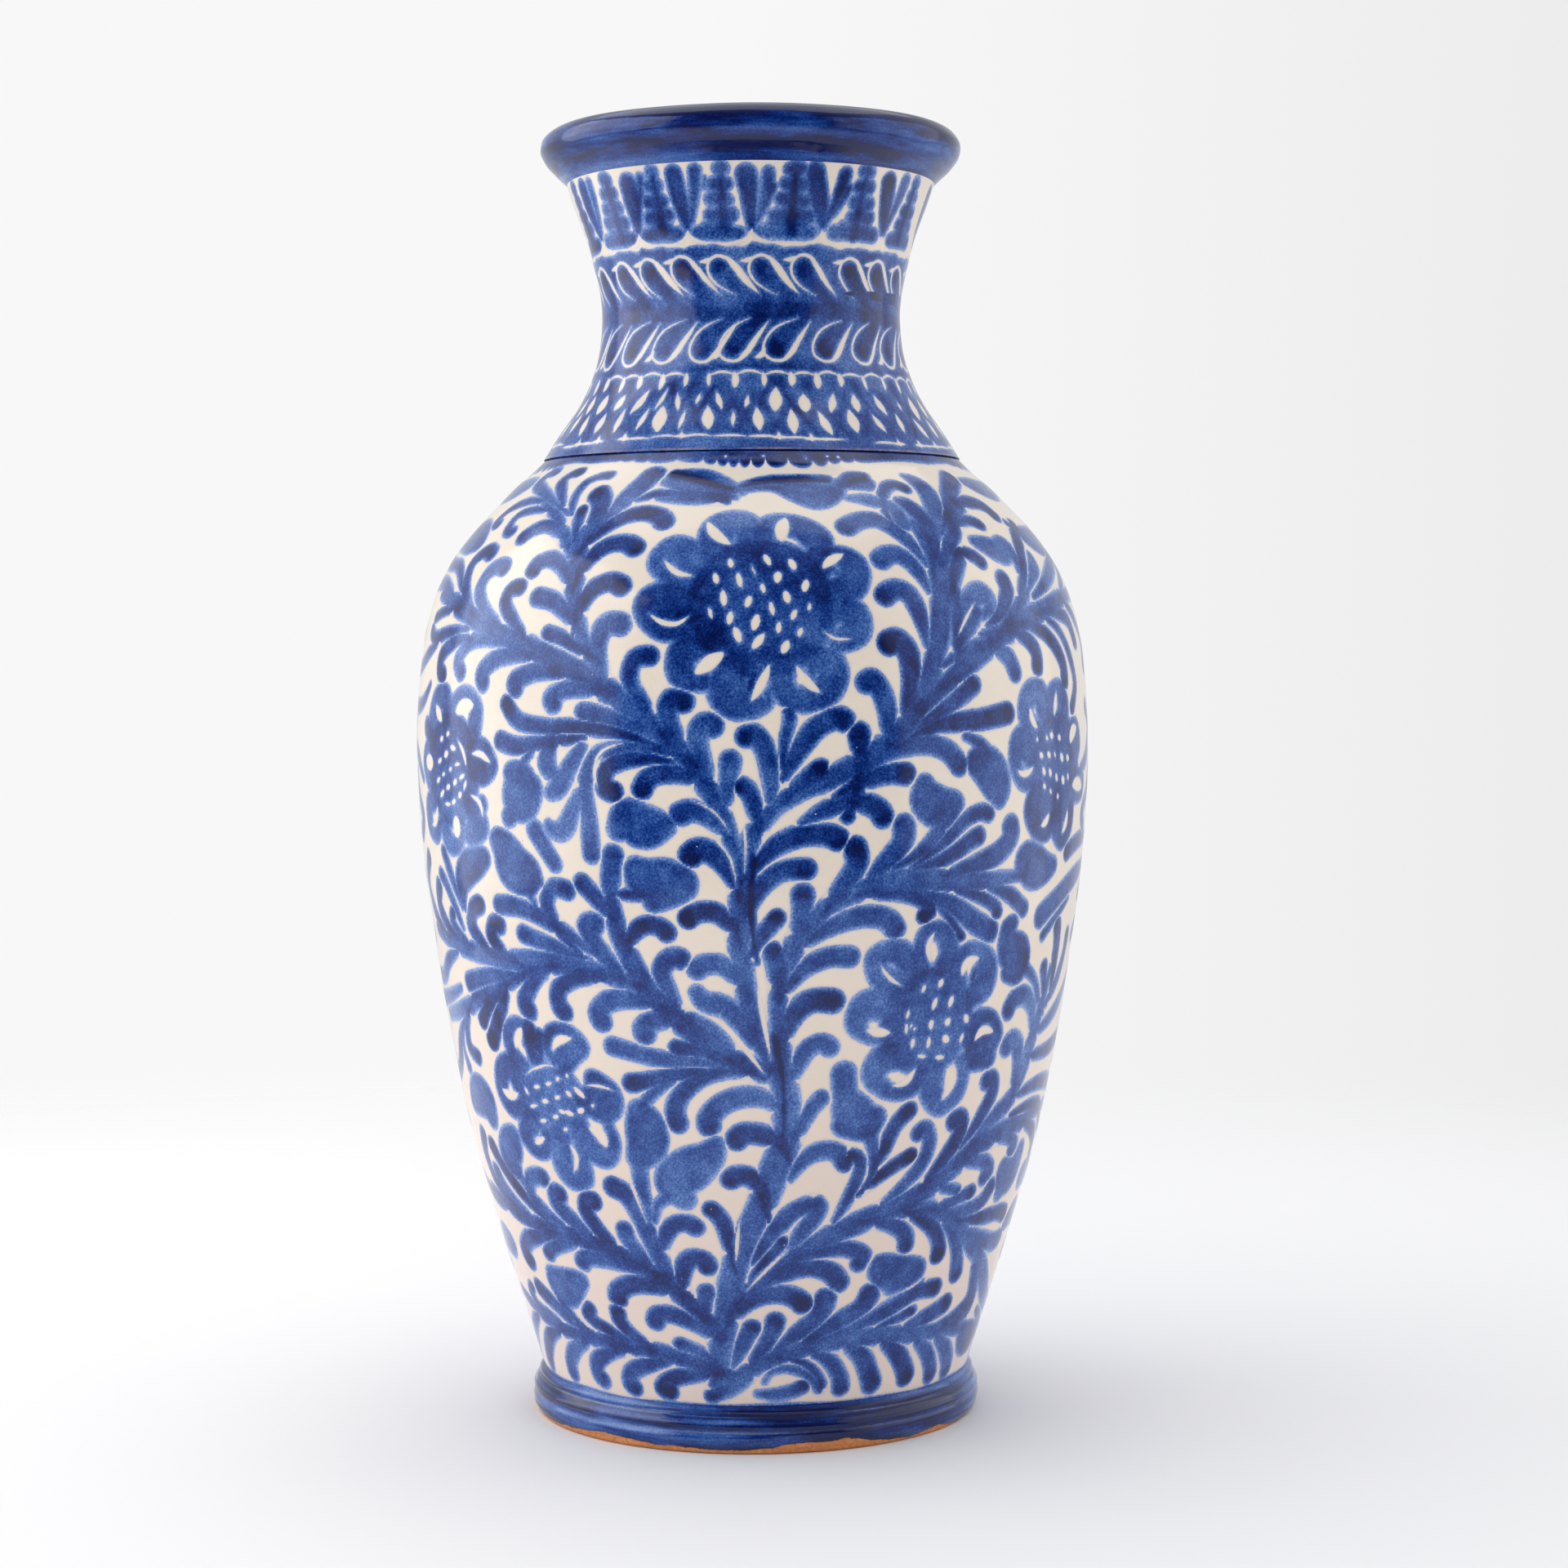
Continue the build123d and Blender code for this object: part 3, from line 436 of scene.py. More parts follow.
# PETALS: the flowers' petals and hearts, as (angle, height, width) at each point.
PETALS = [
    # the big flower
    (2, 252, 44, 2.4, 250, 40),
    (-6, 266, 10, -5.2, 274.4, 11.4, -1, 275.4, 10, 0, 268, 8),
    (2, 268, 8, 4, 275.4, 7.6, 9, 274.6, 9.4, 12.6, 271.4, 9, 12, 266, 8),
    (12, 262, 8, 15, 266.6, 7, 18, 263.6, 10, 17.4, 258, 10, 14, 256, 9),
    (13, 250, 8, 17, 249.6, 9.6, 17.4, 245, 9.6, 14.4, 242, 8),
    (9, 238, 8, 13, 234.4, 10, 12, 227.6, 9.6, 7, 225.4, 8, 5, 230, 8, 6, 236, 8),
    (-2, 236, 10, -3.4, 227, 12, -1, 223.6, 9, 2.6, 224.6, 5, 3, 228.6, 3),
    (-6, 244, 12, -10.6, 238, 9.6, -10.6, 232.4, 8.6, -7.4, 230.4, 6.4),
    (-10, 252, 13, -16, 253, 11, -17, 249.4, 7, -14, 244.6, 6, -10.6, 245.4, 6),
    (-9, 264, 12, -13.4, 268.6, 9.4, -15.6, 264.6, 8, -13, 259.4, 6, -10, 258, 8),
    # flower at the left edge
    (-59, 204, 36, -58.4, 202, 32),
    (-60, 218, 8, -60.8, 225, 8.6, -64.4, 224.4, 9, -66.6, 219, 8),
    (-56, 216, 7, -57.6, 223, 6, -54, 226.4, 6, -50.6, 222.6, 7, -51, 216, 8),
    (-52, 206, 9, -49, 204.6, 11, -46.8, 206, 8, -48.6, 210.8, 6.6, -52, 211, 6),
    (-53, 195, 9, -51.6, 191, 10, -50, 187.4, 9, -53, 185, 8, -49.2, 194, 6),
    (-57, 192, 6, -55.6, 186, 6, -57.4, 181.6, 6, -60.8, 182, 8, -61.8, 188, 8),
    (-64.6, 194, 6, -69.6, 192, 8, -69.6, 186.6, 7, -66.4, 183.6, 6, -64, 187.4, 5),
    (-66, 204, 6, -69, 209.4, 6.6, -71, 205, 6, -69, 200.4, 7, -66, 198, 7),
    (-66, 212, 9, -69.6, 216, 7),
    # flower at the right edge
    (61, 203, 36, 60.6, 201, 32),
    (54, 214, 9, 50.6, 219.4, 8, 51.6, 225, 8.6, 55, 226, 9, 56.6, 219, 9),
    (58.4, 218, 8, 58.8, 225, 7, 62.6, 226.6, 7, 64.2, 222, 7.4, 62.4, 216, 8),
    (66, 207, 8, 67, 214.6, 6.6, 69.4, 216, 5, 70.6, 211, 7, 68.4, 206.6, 7),
    (52.4, 206, 8, 49.4, 211.6, 11, 47.6, 206.4, 6.6, 49.4, 200.4, 6, 52.4, 199.6, 6),
    (54, 197, 9, 52.6, 191.4, 9, 54.6, 186, 8, 58, 184.4, 6, 59.6, 189, 6),
    (61, 193, 9, 61.6, 185.6, 9, 64, 181, 6, 67, 184.6, 6.4, 67.4, 191, 6.6),
    (66, 201, 8, 70, 201.6, 5, 74.6, 199.6, 4.6, 74, 195, 4, 69, 194.6, 6),
    # flower at the lower left
    (-39, 106.4, 26, -38.6, 105, 24),
    (-45.6, 115, 8, -48.4, 121, 6.4, -48.4, 126.4, 6.6, -45, 129, 5, -43, 124, 7),
    (-42.8, 128, 6.8, -42, 123, 8, -41.8, 119, 7, -40.4, 126, 5.4),
    (-36, 118, 9, -33.2, 122.4, 9, -31.4, 124, 7.4, -34, 128.4, 5.4, -37.6, 127.4, 5, -38.8, 123, 4.6, -38, 120, 4),
    (-31.4, 108, 9, -27, 107, 11, -26, 111.6, 6, -29.4, 114.8, 5.6, -27.4, 104.6, 8),
    (-33.6, 99.4, 8, -31.8, 93.6, 8.6, -28.4, 91.4, 8, -26.5, 95.4, 5.4, -27, 100.4, 4),
    (-38.4, 96, 9, -39, 88.4, 9.6, -37.6, 83.4, 8, -34.4, 83.4, 7, -33.8, 89.4, 5.6, -34.4, 94, 4.6),
    (-45, 100, 9, -48.2, 95, 7.4, -46.6, 91, 6, -43.4, 91, 6.4, -42.2, 95.4, 6),
    (-46.6, 104, 9, -51, 102.4, 6.6, -53.6, 106.6, 6.6, -52.6, 113, 8.6, -49.6, 115.4, 9, -47.6, 110, 8),
    # flower at the lower right
    (32, 131, 34, 32.6, 132, 30),
    (27, 143, 9, 22.4, 144.4, 8.4, 21, 150.4, 7.4, 24.4, 152.4, 8, 27, 148.6, 9),
    (29.6, 146, 8, 29, 152.6, 5.6, 30, 157.4, 5.6, 33.4, 157, 7.4, 35, 151, 8, 34, 146.6, 8),
    (37, 142, 9, 37, 149, 6.4, 40.4, 151.4, 5.6, 43.6, 147.4, 8.4, 43.8, 141, 10, 41.4, 138, 9),
    (25, 136, 10, 19.4, 136.4, 9.6, 18, 131.4, 7, 20, 127.6, 4.4, 24, 126.4, 4.6),
    (41, 126, 8, 45.4, 121.4, 10, 48.4, 124.4, 7, 46.6, 130, 5, 42.6, 129.6, 7, 43, 118, 8),
    (28, 121, 9, 23.6, 121, 10, 21.8, 116, 8, 25, 110.8, 5.6, 29.4, 111, 6, 31.6, 116, 7),
    (34, 117, 9, 34, 109.6, 9, 36.4, 104.4, 6, 40, 107.6, 6, 41, 113.4, 5.6, 40, 118, 6),
    (44, 117.4, 7, 47, 118, 8),
]

# GAPS: bare ivory left between the touches: (widest, then angle and height at each point), pointed at both ends.
GAPS = [
    # eyes of the big flower's petals
    (3.4, -8, 276.4, -7, 274, -5.4, 271.6, -3.2, 269.6),
    (4.2, 7, 277.4, 6, 273.6, 5.9, 270.4),
    (3, 12.6, 262.6, 14, 264.6, 16.8, 266.9),
    (1, 11.8, 244.8, 13.6, 242.6, 16.4, 242.4),
    (2.8, 7.4, 235, 8.6, 231, 11.2, 227),
    (2.8, 3.2, 235.4, 2, 230.4, 0.2, 224.6),
    (4.2, -8.6, 232.6, -6.6, 235.4, -4, 238.6),
    (1.6, -16.6, 250, -14, 247.2, -11.6, 247, -9.6, 249.4),
    (1.9, -15, 265.4, -12.4, 261.6, -9.4, 260.6),
    # its lattice
    (1.9, -3.4, 265.6, -3, 262.8), (2, 2.6, 266.8, 3.6, 263.4), (2.4, 7, 265.4, 7.8, 262.2), (2, -5.9, 261.4, -5.3, 258.2),
    (1.9, -2, 261.6, -1.3, 257), (2.6, 5, 261.6, 4.6, 258.6), (2.4, 9.7, 259.4, 9, 255.8), (2.2, -4.4, 256.6, -4, 251.6),
    (1.6, 2, 258.4, 2.5, 255.4), (2.4, 5.9, 256.2, 6.4, 252.6), (2.1, 0.2, 254.8, -0.5, 251.4), (1.7, 3.4, 253.2, 3.9, 249.2),
    (1.3, -6.6, 251.6, -6, 248.2), (2.2, -2.9, 250.4, -3.3, 246.6), (2.7, 1.4, 249.6, 0.6, 244.8), (1.9, 7.6, 250.8, 6.8, 247.8),
    (2.4, -2.4, 246, -1.4, 241.4), (1.8, 4.8, 247.4, 4.6, 244), (1.7, 8.4, 245.6, 7.8, 243), (2.6, 2.4, 244, 0.4, 239.6),
    (2.6, 6.2, 242, 5.2, 238.4), (1.2, 9.9, 252.6, 9.7, 250.4), (0.7, 0.3, 263.8, 1.1, 260.6),
    # left-edge flower
    (3.4, -65, 222.8, -63.2, 219.8, -62, 218), (5, -56.8, 221, -54.4, 222.6, -51.2, 223.2), (2.2, -51.6, 208.8, -49, 208.8, -46.4, 206.2),
    (1.8, -52.4, 196.6, -49.8, 194.4, -49.1, 190), (5, -57.6, 189.6, -57.4, 183.8), (2.6, -68.6, 186.4, -66.6, 187.4, -64.9, 192.4),
    (5.4, -70.2, 205.4, -66.4, 205.4), (1.6, -56.2, 213, -54.2, 209.4, -53.2, 204.6), (1.5, -53.4, 201, -54.4, 197.8),
    (1.9, -61.4, 213.2, -62.6, 212.4), (1.8, -59, 215, -60, 214), (2, -56.6, 210, -58.6, 210.6), (2.3, -59.4, 209, -61, 207.6),
    (1.8, -62, 206.8, -63.8, 205.6), (1.3, -55.2, 205.8, -57.2, 205.2), (1.4, -58.2, 204.4, -59.2, 203.4), (1.6, -53.8, 202.6, -55.8, 201.2),
    (1.3, -60.8, 202.6, -62.2, 201.8), (2, -56.6, 200.8, -57.8, 199.4), (1.8, -63, 201, -64.8, 199.6), (2, -59, 199, -60.6, 198),
    (1.9, -61.4, 197.4, -63.4, 195.2), (2, -55.2, 197.2, -56.2, 195.6), (1.8, -57.2, 194.8, -58.8, 193.6), (1.4, -59, 193.4, -61.6, 193.2),
    # right-edge flower
    (2.4, 52, 222, 52.4, 218.4, 53.9, 215.4), (2.3, 61, 226.4, 60.4, 222.6, 59.6, 219), (4.4, 69.8, 215, 67.6, 213.6, 66.4, 210.6),
    (2.1, 48, 203.6, 50, 202.2, 52.6, 204.2), (2.4, 55.6, 186.4, 57, 187.2, 58.2, 190), (2.6, 63.8, 183.4, 65.4, 186.4, 65.8, 190.4),
    (4.6, 67.6, 197.6, 70.6, 197.8, 74, 196.6), (2, 54.4, 208, 55.4, 207), (2, 57, 208.2, 57.9, 206.8), (1, 59.2, 208.4, 59.9, 206.4),
    (2.3, 61.8, 207.6, 62.8, 205.2), (2, 64.4, 206.8, 65.3, 205.4), (2, 55.4, 203.8, 56.2, 201.6), (1.8, 57.6, 203.4, 58.3, 200.8),
    (1.7, 60, 201.8, 60.7, 199.2), (2.4, 62.6, 200.8, 63.4, 198.4), (1.6, 65, 201.4, 65.5, 199.4), (1.6, 55.8, 199, 56.4, 197.4),
    (1.3, 58, 197.2, 58.5, 195.8), (1.4, 60.8, 195.6, 61.3, 194), (2.2, 58.2, 213.8, 58.9, 212.6), (2, 61, 213, 61.9, 211.8),
    (1.4, 56.6, 213, 57.2, 212), (1.3, 53.6, 212.8, 53.9, 211.8),
    # lower-left flower
    (3.4, -47, 121.4, -46, 124.6, -44.6, 128), (2.9, -37.4, 122.2, -36, 125, -32.8, 126.2), (1, -31, 112.4, -28, 112.4, -25.2, 111.4),
    (3.8, -31.4, 99.4, -29.4, 98.2, -28, 94), (1.9, -36.6, 94, -35.4, 90, -36.6, 85.2), (2.2, -46, 92.6, -44.6, 93.4, -42.8, 95),
    (3.2, -53.6, 107.8, -51, 106.4, -48.4, 107.4), (1.3, -45.6, 103.8, -43.4, 104.6), (1.4, -43.8, 110, -41.8, 110.6), (1.5, -40.4, 111.4, -38.8, 112),
    (1.4, -37.6, 113, -36.8, 114), (1.7, -42, 106, -40.2, 106.4), (1.5, -38.6, 107.4, -37.2, 108.2), (1.5, -39.8, 101.4, -38.2, 102.2),
    (1.8, -36.6, 103.8, -34.4, 103), (2, -33.6, 104, -32, 105), (1.4, -43.4, 99.8, -41.4, 100.4), (1.3, -37.4, 98, -36.4, 98.6),
    (1.7, -35.6, 110, -34.4, 108.6), (1.2, -46.2, 109.8, -45.4, 107.4), (0.9, -45.4, 113.4, -43.6, 115.2, -41.6, 116.4, -39, 117.4, -37, 116.8),
    (1.2, -35, 115.4, -34.8, 114.2), (0.8, -32.2, 114.6, -31.6, 112), (2, -33.8, 111.6, -31.4, 108.4), (1.6, -36.4, 103.4, -38, 103.8),
    (1.2, -29.8, 106.8, -30.2, 105.8),
    # lower-right flower
    (1.3, 21.6, 149.2, 23.4, 144.8, 26.2, 141.8), (2, 31.6, 157.4, 30.6, 153, 31.4, 148), (3.2, 38.2, 143.6, 38.9, 147, 41.8, 148.6),
    (3, 19.8, 129.6, 22.4, 128.6, 24.4, 128.4), (3, 42.8, 123.6, 44.6, 126.4, 47.6, 125.6), (2.4, 25.6, 112.4, 28.2, 113.4, 30, 117.2),
    (3.2, 38.4, 117.6, 38.5, 112, 36.6, 106.6), (1.5, 30.6, 142, 30, 139.6), (2, 34, 143.2, 33.4, 140.8), (1.2, 27.7, 135, 27.3, 132),
    (1.9, 33.1, 138, 32.4, 134.2), (2.1, 36.5, 138, 35.9, 134.6), (1.3, 27.4, 131, 27.5, 127.4), (2, 32.4, 131.4, 32.4, 128.4),
    (2.4, 36, 131, 35.9, 129.6), (2.2, 39.8, 132, 40.5, 129.4), (1.6, 29, 126.4, 28.8, 123.2), (1.7, 32.3, 126.4, 32.1, 122.8),
    (2.6, 35.3, 126, 36.4, 124.4), (1.5, 39.8, 126.6, 39.2, 123.4), (1.4, 30, 120.8, 32, 120.4), (1.7, 34, 120, 36, 119.6),
    (1, 29, 129.4, 29.1, 128.6), (1, 28.4, 130.4, 28.3, 129.4),
    # slivers beside the stems
    (1.7, 1.3, 150, 1.5, 140, 2.4, 130, 3.3, 121.6), (1.6, -5.4, 134.4, -1.6, 126, 2.4, 117), (1, -25.4, 203, -24, 210, -20, 212.9),
    (0.9, -0.9, 176, -0.9, 188, -2.5, 199), (0.8, -2.2, 172, -3.4, 181, -6, 186), (0.7, -3, 187, -5.6, 193.4, -9.4, 197),
    (1.1, -24.5, 200, -25, 205, -23.4, 209.4), (1.0, 36, 243, 38.4, 248.4, 41, 253),
    (0.9, -6.2, 296.4, -6, 295.9), (0.9, 3.4, 296.5, 3.5, 296.0), (1.0, 20, 296.6, 20.1, 296.1), (1.0, 23, 296.4, 23.1, 295.9), (0.7, 14.2, 295.9, 14.3, 295.4),
    (1.0, 7.6, 64.6, 3, 58, -1.6, 51), (1.2, -2.6, 73, -3.2, 66, -3.5, 59.6), (1.0, -25, 92, -23.6, 82, -21.4, 71),
]

# ACCENTS: second, darker touches laid over the first, as LEAVES.
ACCENTS = [
    (2.4, 4.6, -3.8, 285.8, -8, 287.6, -12.6, 289.2, -17.2, 290.6), (2, 3.4, -1.4, 286.8, 3, 288.4, 9, 288.8, 17.4, 288.8), (1.5, 3, 22, 288, 27, 289.6),
    (1.5, 3.4, 1, 150, 0, 165, 0.6, 180), (1.5, 3, 5.5, 96, 5.6, 112, 4, 128),
]

# SIDE_STEM and SIDE_LEAVES: the plant up each side of the vase. Angles are degrees off the middle of that side, towards the front.
SIDE_STEM = [(0.6, 15, 6), (1.6, 50, 6.2), (-1.2, 92, 6.6), (1.4, 132, 6.4), (-1.2, 172, 6.2), (1.2, 212, 6), (-1, 250, 5.6), (0.6, 278, 4.6), (0.2, 289, 3.4)]
SIDE_LEAVES = {
    1: [
        (3, 6.2, 0, 22, 2.4, 31, 5.4, 35.4, 8.4, 32.6), (3, 6.6, -0.6, 38, 2.6, 49, 7, 54.4, 10.6, 51), (3, 5.6, 0, 56, 2.4, 64.4, 4.4, 67.6, 5.8, 65),
        (3, 5.6, 1, 73, 2.6, 82, 4.2, 87, 6.6, 88), (3, 5.2, 0.6, 98, 3, 106.4, 5.2, 110.6, 7.4, 110.4), (3, 5.2, -1, 122, 2.4, 129.6, 4.6, 132.4, 6.6, 130),
        (3, 5.8, -1, 141, 2.4, 149.6, 6.4, 153.6, 10, 150.6), (3, 5.2, 0.2, 156, 3, 163.4, 6, 166, 8.8, 163), (3, 5.6, 0.4, 186, 2.8, 196, 4.6, 200, 6, 197.4),
        (3, 5.2, -0.8, 206, 1.8, 216, 3.4, 221, 5.2, 221.6), (3, 5.6, 0, 226, 2, 237, 4, 242, 6, 241), (2.6, 4.8, 0.8, 246, 2.4, 254, 3.4, 260, 3, 265),
        (3, 5, 0.2, 268, 1.4, 278, 3, 285, 6, 287),
    ],
    -1: [
        (3, 6.2, 0, 20, 2.4, 29, 5, 33.6, 7.6, 31), (3, 6.6, -0.6, 36, 2.8, 47, 7.2, 52, 10.6, 48.6), (3, 5.8, 0, 54, 2.8, 63, 5.6, 67, 8.2, 64.4),
        (3, 5.6, 1, 84, 3.4, 92.6, 6.4, 96, 9.2, 93.4), (3, 5.4, 0.6, 100, 3, 109, 5, 113.6, 7.4, 113), (3, 5, -1, 114, 1.6, 121.6, 3.6, 124.6, 5.6, 123),
        (3, 5.8, -1, 140, 2, 149, 5.4, 153, 8.8, 150.6), (3, 5.8, 0.2, 158, 2.8, 167.6, 5.6, 172, 8.4, 169.4), (3, 5.8, 0.4, 178, 3, 188, 5.2, 192, 7, 189.6),
        (3, 5.4, -0.8, 198, 1.8, 208, 3.4, 213, 5, 212.4), (3, 5.4, 0, 216, 2, 225, 3.6, 229, 5.2, 227.4), (3, 5.6, 0.6, 234, 2.8, 243, 5.6, 247, 8.6, 244.6),
        (2.6, 4.8, 0.2, 262, 1.6, 270, 3, 275.6, 5, 277),
    ],
}


# ---- the brush engine: distance to the nearest stroke, and how much pigment lies at a point ----


def smooth_path(points, per_mm, width_of, surface):
    """Samples a centripetal spline through (angle, height) points. Returns 3-D samples and their radii."""
    p = np.asarray(points, float)
    xyz = surface(np.radians(p[:, 0]), p[:, 1])
    n = len(p)
    if n == 2:
        seg = np.array([np.linalg.norm(xyz[1] - xyz[0])])
    else:
        seg = np.maximum(np.linalg.norm(np.diff(xyz, axis=0), axis=1), 1e-6)
    knots = np.concatenate([[0.0], np.cumsum(np.sqrt(seg))])
    count = max(6, int(seg.sum() / per_mm) + 1)
    u = np.linspace(0, knots[-1], count)
    cols = [p[:, 0], p[:, 1]] + [p[:, i] for i in range(2, p.shape[1])]
    out = [hermite(knots, c, u) for c in cols]
    pos = surface(np.radians(out[0]), out[1])
    length = np.concatenate([[0.0], np.cumsum(np.linalg.norm(np.diff(pos, axis=0), axis=1))])
    s = length / max(length[-1], 1e-6)
    return pos, width_of(s, out[2:]) / 2, s


def hermite(knots, values, u):
    """A smooth curve through values at knots (Catmull-Rom tangents for uneven knots)."""
    k, v = knots, values
    n = len(k)
    if n == 2:
        return v[0] + (v[1] - v[0]) * (u - k[0]) / (k[1] - k[0])
    d = np.diff(v) / np.diff(k)
    h = np.diff(k)
    m = np.empty(n)
    m[1:-1] = (h[1:] * d[:-1] + h[:-1] * d[1:]) / (h[1:] + h[:-1])
    m[0] = 1.5 * d[0] - 0.5 * m[1]
    m[-1] = 1.5 * d[-1] - 0.5 * m[-2]
    i = np.clip(np.searchsorted(k, u, side="right") - 1, 0, n - 2)
    t = (u - k[i]) / h[i]
    t2, t3 = t * t, t * t * t
    return (
        (2 * t3 - 3 * t2 + 1) * v[i] + (t3 - 2 * t2 + t) * h[i] * m[i] + (-2 * t3 + 3 * t2) * v[i + 1] + (t3 - t2) * h[i] * m[i + 1]
    )


def leaf_width(tail, head):
    """A comma stroke: thin at the tail, filling out early, with a slightly swollen round head."""

    def width(s, _):
        w = tail + (head * 0.97 - tail) * (1 - (1 - np.minimum(1.0, s / 0.62)) ** 1.8)
        return w + 0.05 * head * np.exp(-(((s - 0.97) / 0.12) ** 2))

    return width


def drawn_width(s, extra):
    return np.maximum(extra[0], 0.6)


def gap_width(widest):
    def width(s, _):
        return widest * np.clip(np.sin(np.pi * np.clip(s, 0, 1)), 0, 1) ** 0.8

    return width


class Canvas:
    """Vertices of a surface, binned by height, with the signed distance and the pigment gathered at each."""

    def __init__(self, xyz, spread):
        self.spread = spread      # how far, in mm, the pigment bled out past each touch
        self.order = np.argsort(xyz[:, 2], kind="stable")
        self.p = xyz[self.order].astype(np.float32)
        self.z = self.p[:, 2].copy()
        n = len(xyz)
        self.sdf = np.full(n, 6.0, np.float32)
        self.second = np.full(n, 6.0, np.float32)
        self.gap = np.full(n, 6.0, np.float32)
        self.tone = np.zeros(n, np.float32)

    def near(self, pos, reach):
        lo, hi = pos[:, 2].min() - reach, pos[:, 2].max() + reach
        a, b = np.searchsorted(self.z, [lo, hi])
        q = self.p[a:b]
        x0, x1 = pos[:, 0].min() - reach, pos[:, 0].max() + reach
        y0, y1 = pos[:, 1].min() - reach, pos[:, 1].max() + reach
        keep = (q[:, 0] >= x0) & (q[:, 0] <= x1) & (q[:, 1] >= y0) & (q[:, 1] <= y1)
        return a + np.nonzero(keep)[0]

    def measure(self, pos, rad, reach):
        """Index, signed distance and position along the stroke for the vertices near it."""
        idx = self.near(pos, reach)
        if not len(idx):
            return idx, None, None, None
        q = self.p[idx]
        best = np.full(len(idx), 1e9, np.float32)
        along = np.zeros(len(idx), np.float32)
        centre = np.zeros(len(idx), np.float32)
        a, b = pos[:-1].astype(np.float32), pos[1:].astype(np.float32)
        ra, rb = rad[:-1].astype(np.float32), rad[1:].astype(np.float32)
        n = len(a)
        for i in range(n):
            ab = b[i] - a[i]
            l2 = max(float(ab @ ab), 1e-9)
            aq = q - a[i]
            t = np.clip((aq @ ab) / l2, 0, 1)
            d = aq - t[:, None] * ab
            dist = np.sqrt(np.einsum("ij,ij->i", d, d))
            r = ra[i] + (rb[i] - ra[i]) * t
            sd = dist - r
            m = sd < best
            best[m] = sd[m]
            along[m] = (i + t[m]) / n
            centre[m] = (dist / np.maximum(r, 0.3))[m]
        return idx, best, along, centre

    def stroke(self, pos, rad, load, head, seam=True):
        reach = float(rad.max()) + 2.0
        idx, sd, along, centre = self.measure(pos, rad, reach)
        if not len(idx):
            return
        sd = sd - self.spread
        old = self.sdf[idx]
        if seam:
            self.second[idx] = np.minimum(self.second[idx], np.maximum(old, sd))
        self.sdf[idx] = np.minimum(old, sd)
        body = np.clip(-sd / 2.1, 0, 1)
        body = body * body * (3 - 2 * body)
        pool = np.clip((along - 0.7) / 0.3, 0, 1) if head else np.zeros_like(along)
        amount = load * (0.42 + 0.50 * body + head * pool * pool * (1 - 0.55 * np.clip(centre, 0, 1) ** 2))
        amount = np.where(sd < 0.4, amount, 0)
        self.tone[idx] = (self.tone[idx] ** 5 + amount.astype(np.float32) ** 5) ** 0.2

    def leave(self, pos, rad):
        idx, sd, _, _ = self.measure(pos, rad, float(rad.max()) + 2.0)
        if len(idx):
            self.gap[idx] = np.minimum(self.gap[idx], sd)

    def result(self):
        # where two touches run into each other a sliver of bare ground is left between them, closing as they merge
        depth = np.maximum(-self.sdf, 0)
        apart = self.second - self.sdf
        sliver = (0.95 * np.clip(1 - depth / 1.5, 0, 1) - apart) / 2
        sdf = np.maximum(np.maximum(self.sdf, np.where(sliver > 0, sliver, -6)), -self.gap)
        self.tone *= 1 - 0.30 * np.exp(-((apart / 1.0) ** 2)) * np.clip(1 - depth / 4.0, 0, 1)
        out_s, out_t = np.empty_like(sdf), np.empty_like(sdf)
        out_s[self.order] = sdf
        out_t[self.order] = self.tone
        return out_s, out_t


# ---- laying the painting on ----
rng = np.random.default_rng(11)


def fill_zone(cv, sd, load):
    """Lays a wash where sd, in mm for each vertex in the canvas's own order, is below zero."""
    cv.sdf = np.minimum(cv.sdf, sd)
    depth = np.clip(-sd / 1.4, 0, 1)
    amount = np.where(sd < 0.4, load * (0.5 + 0.4 * depth), 0)
    cv.tone = ((cv.tone**5 + amount**5) ** 0.2).astype(np.float32)


def touch(cv, row, load, head=0.0, surface=None, per_mm=0.9, seam=False):
    """One touch drawn as (angle, height, width) points."""
    pos, rad, _ = smooth_path(np.array(row).reshape(-1, 3), per_mm, drawn_width, surface)
    cv.stroke(pos, rad, load, head, seam)


def leaf(cv, row, load, head=0.4, surface=None, per_mm=0.9, seam=True):
    pos, rad, _ = smooth_path(np.array(row[2:]).reshape(-1, 2), per_mm, leaf_width(row[0], row[1]), surface)
    cv.stroke(pos, rad, load, head, seam)


def gap(cv, row, surface=None, per_mm=0.6):
    pos, rad, _ = smooth_path(np.array(row[1:]).reshape(-1, 2), per_mm, gap_width(row[0]), surface)
    cv.leave(pos, rad)


def line(cv, row, surface=None, per_mm=0.6):
    """A bare line of changing width: (angle, height, width) points."""
    pos, rad, _ = smooth_path(np.array(row).reshape(-1, 3), per_mm, lambda s, extra: np.maximum(extra[0], 0.1), surface)
    cv.leave(pos, rad)


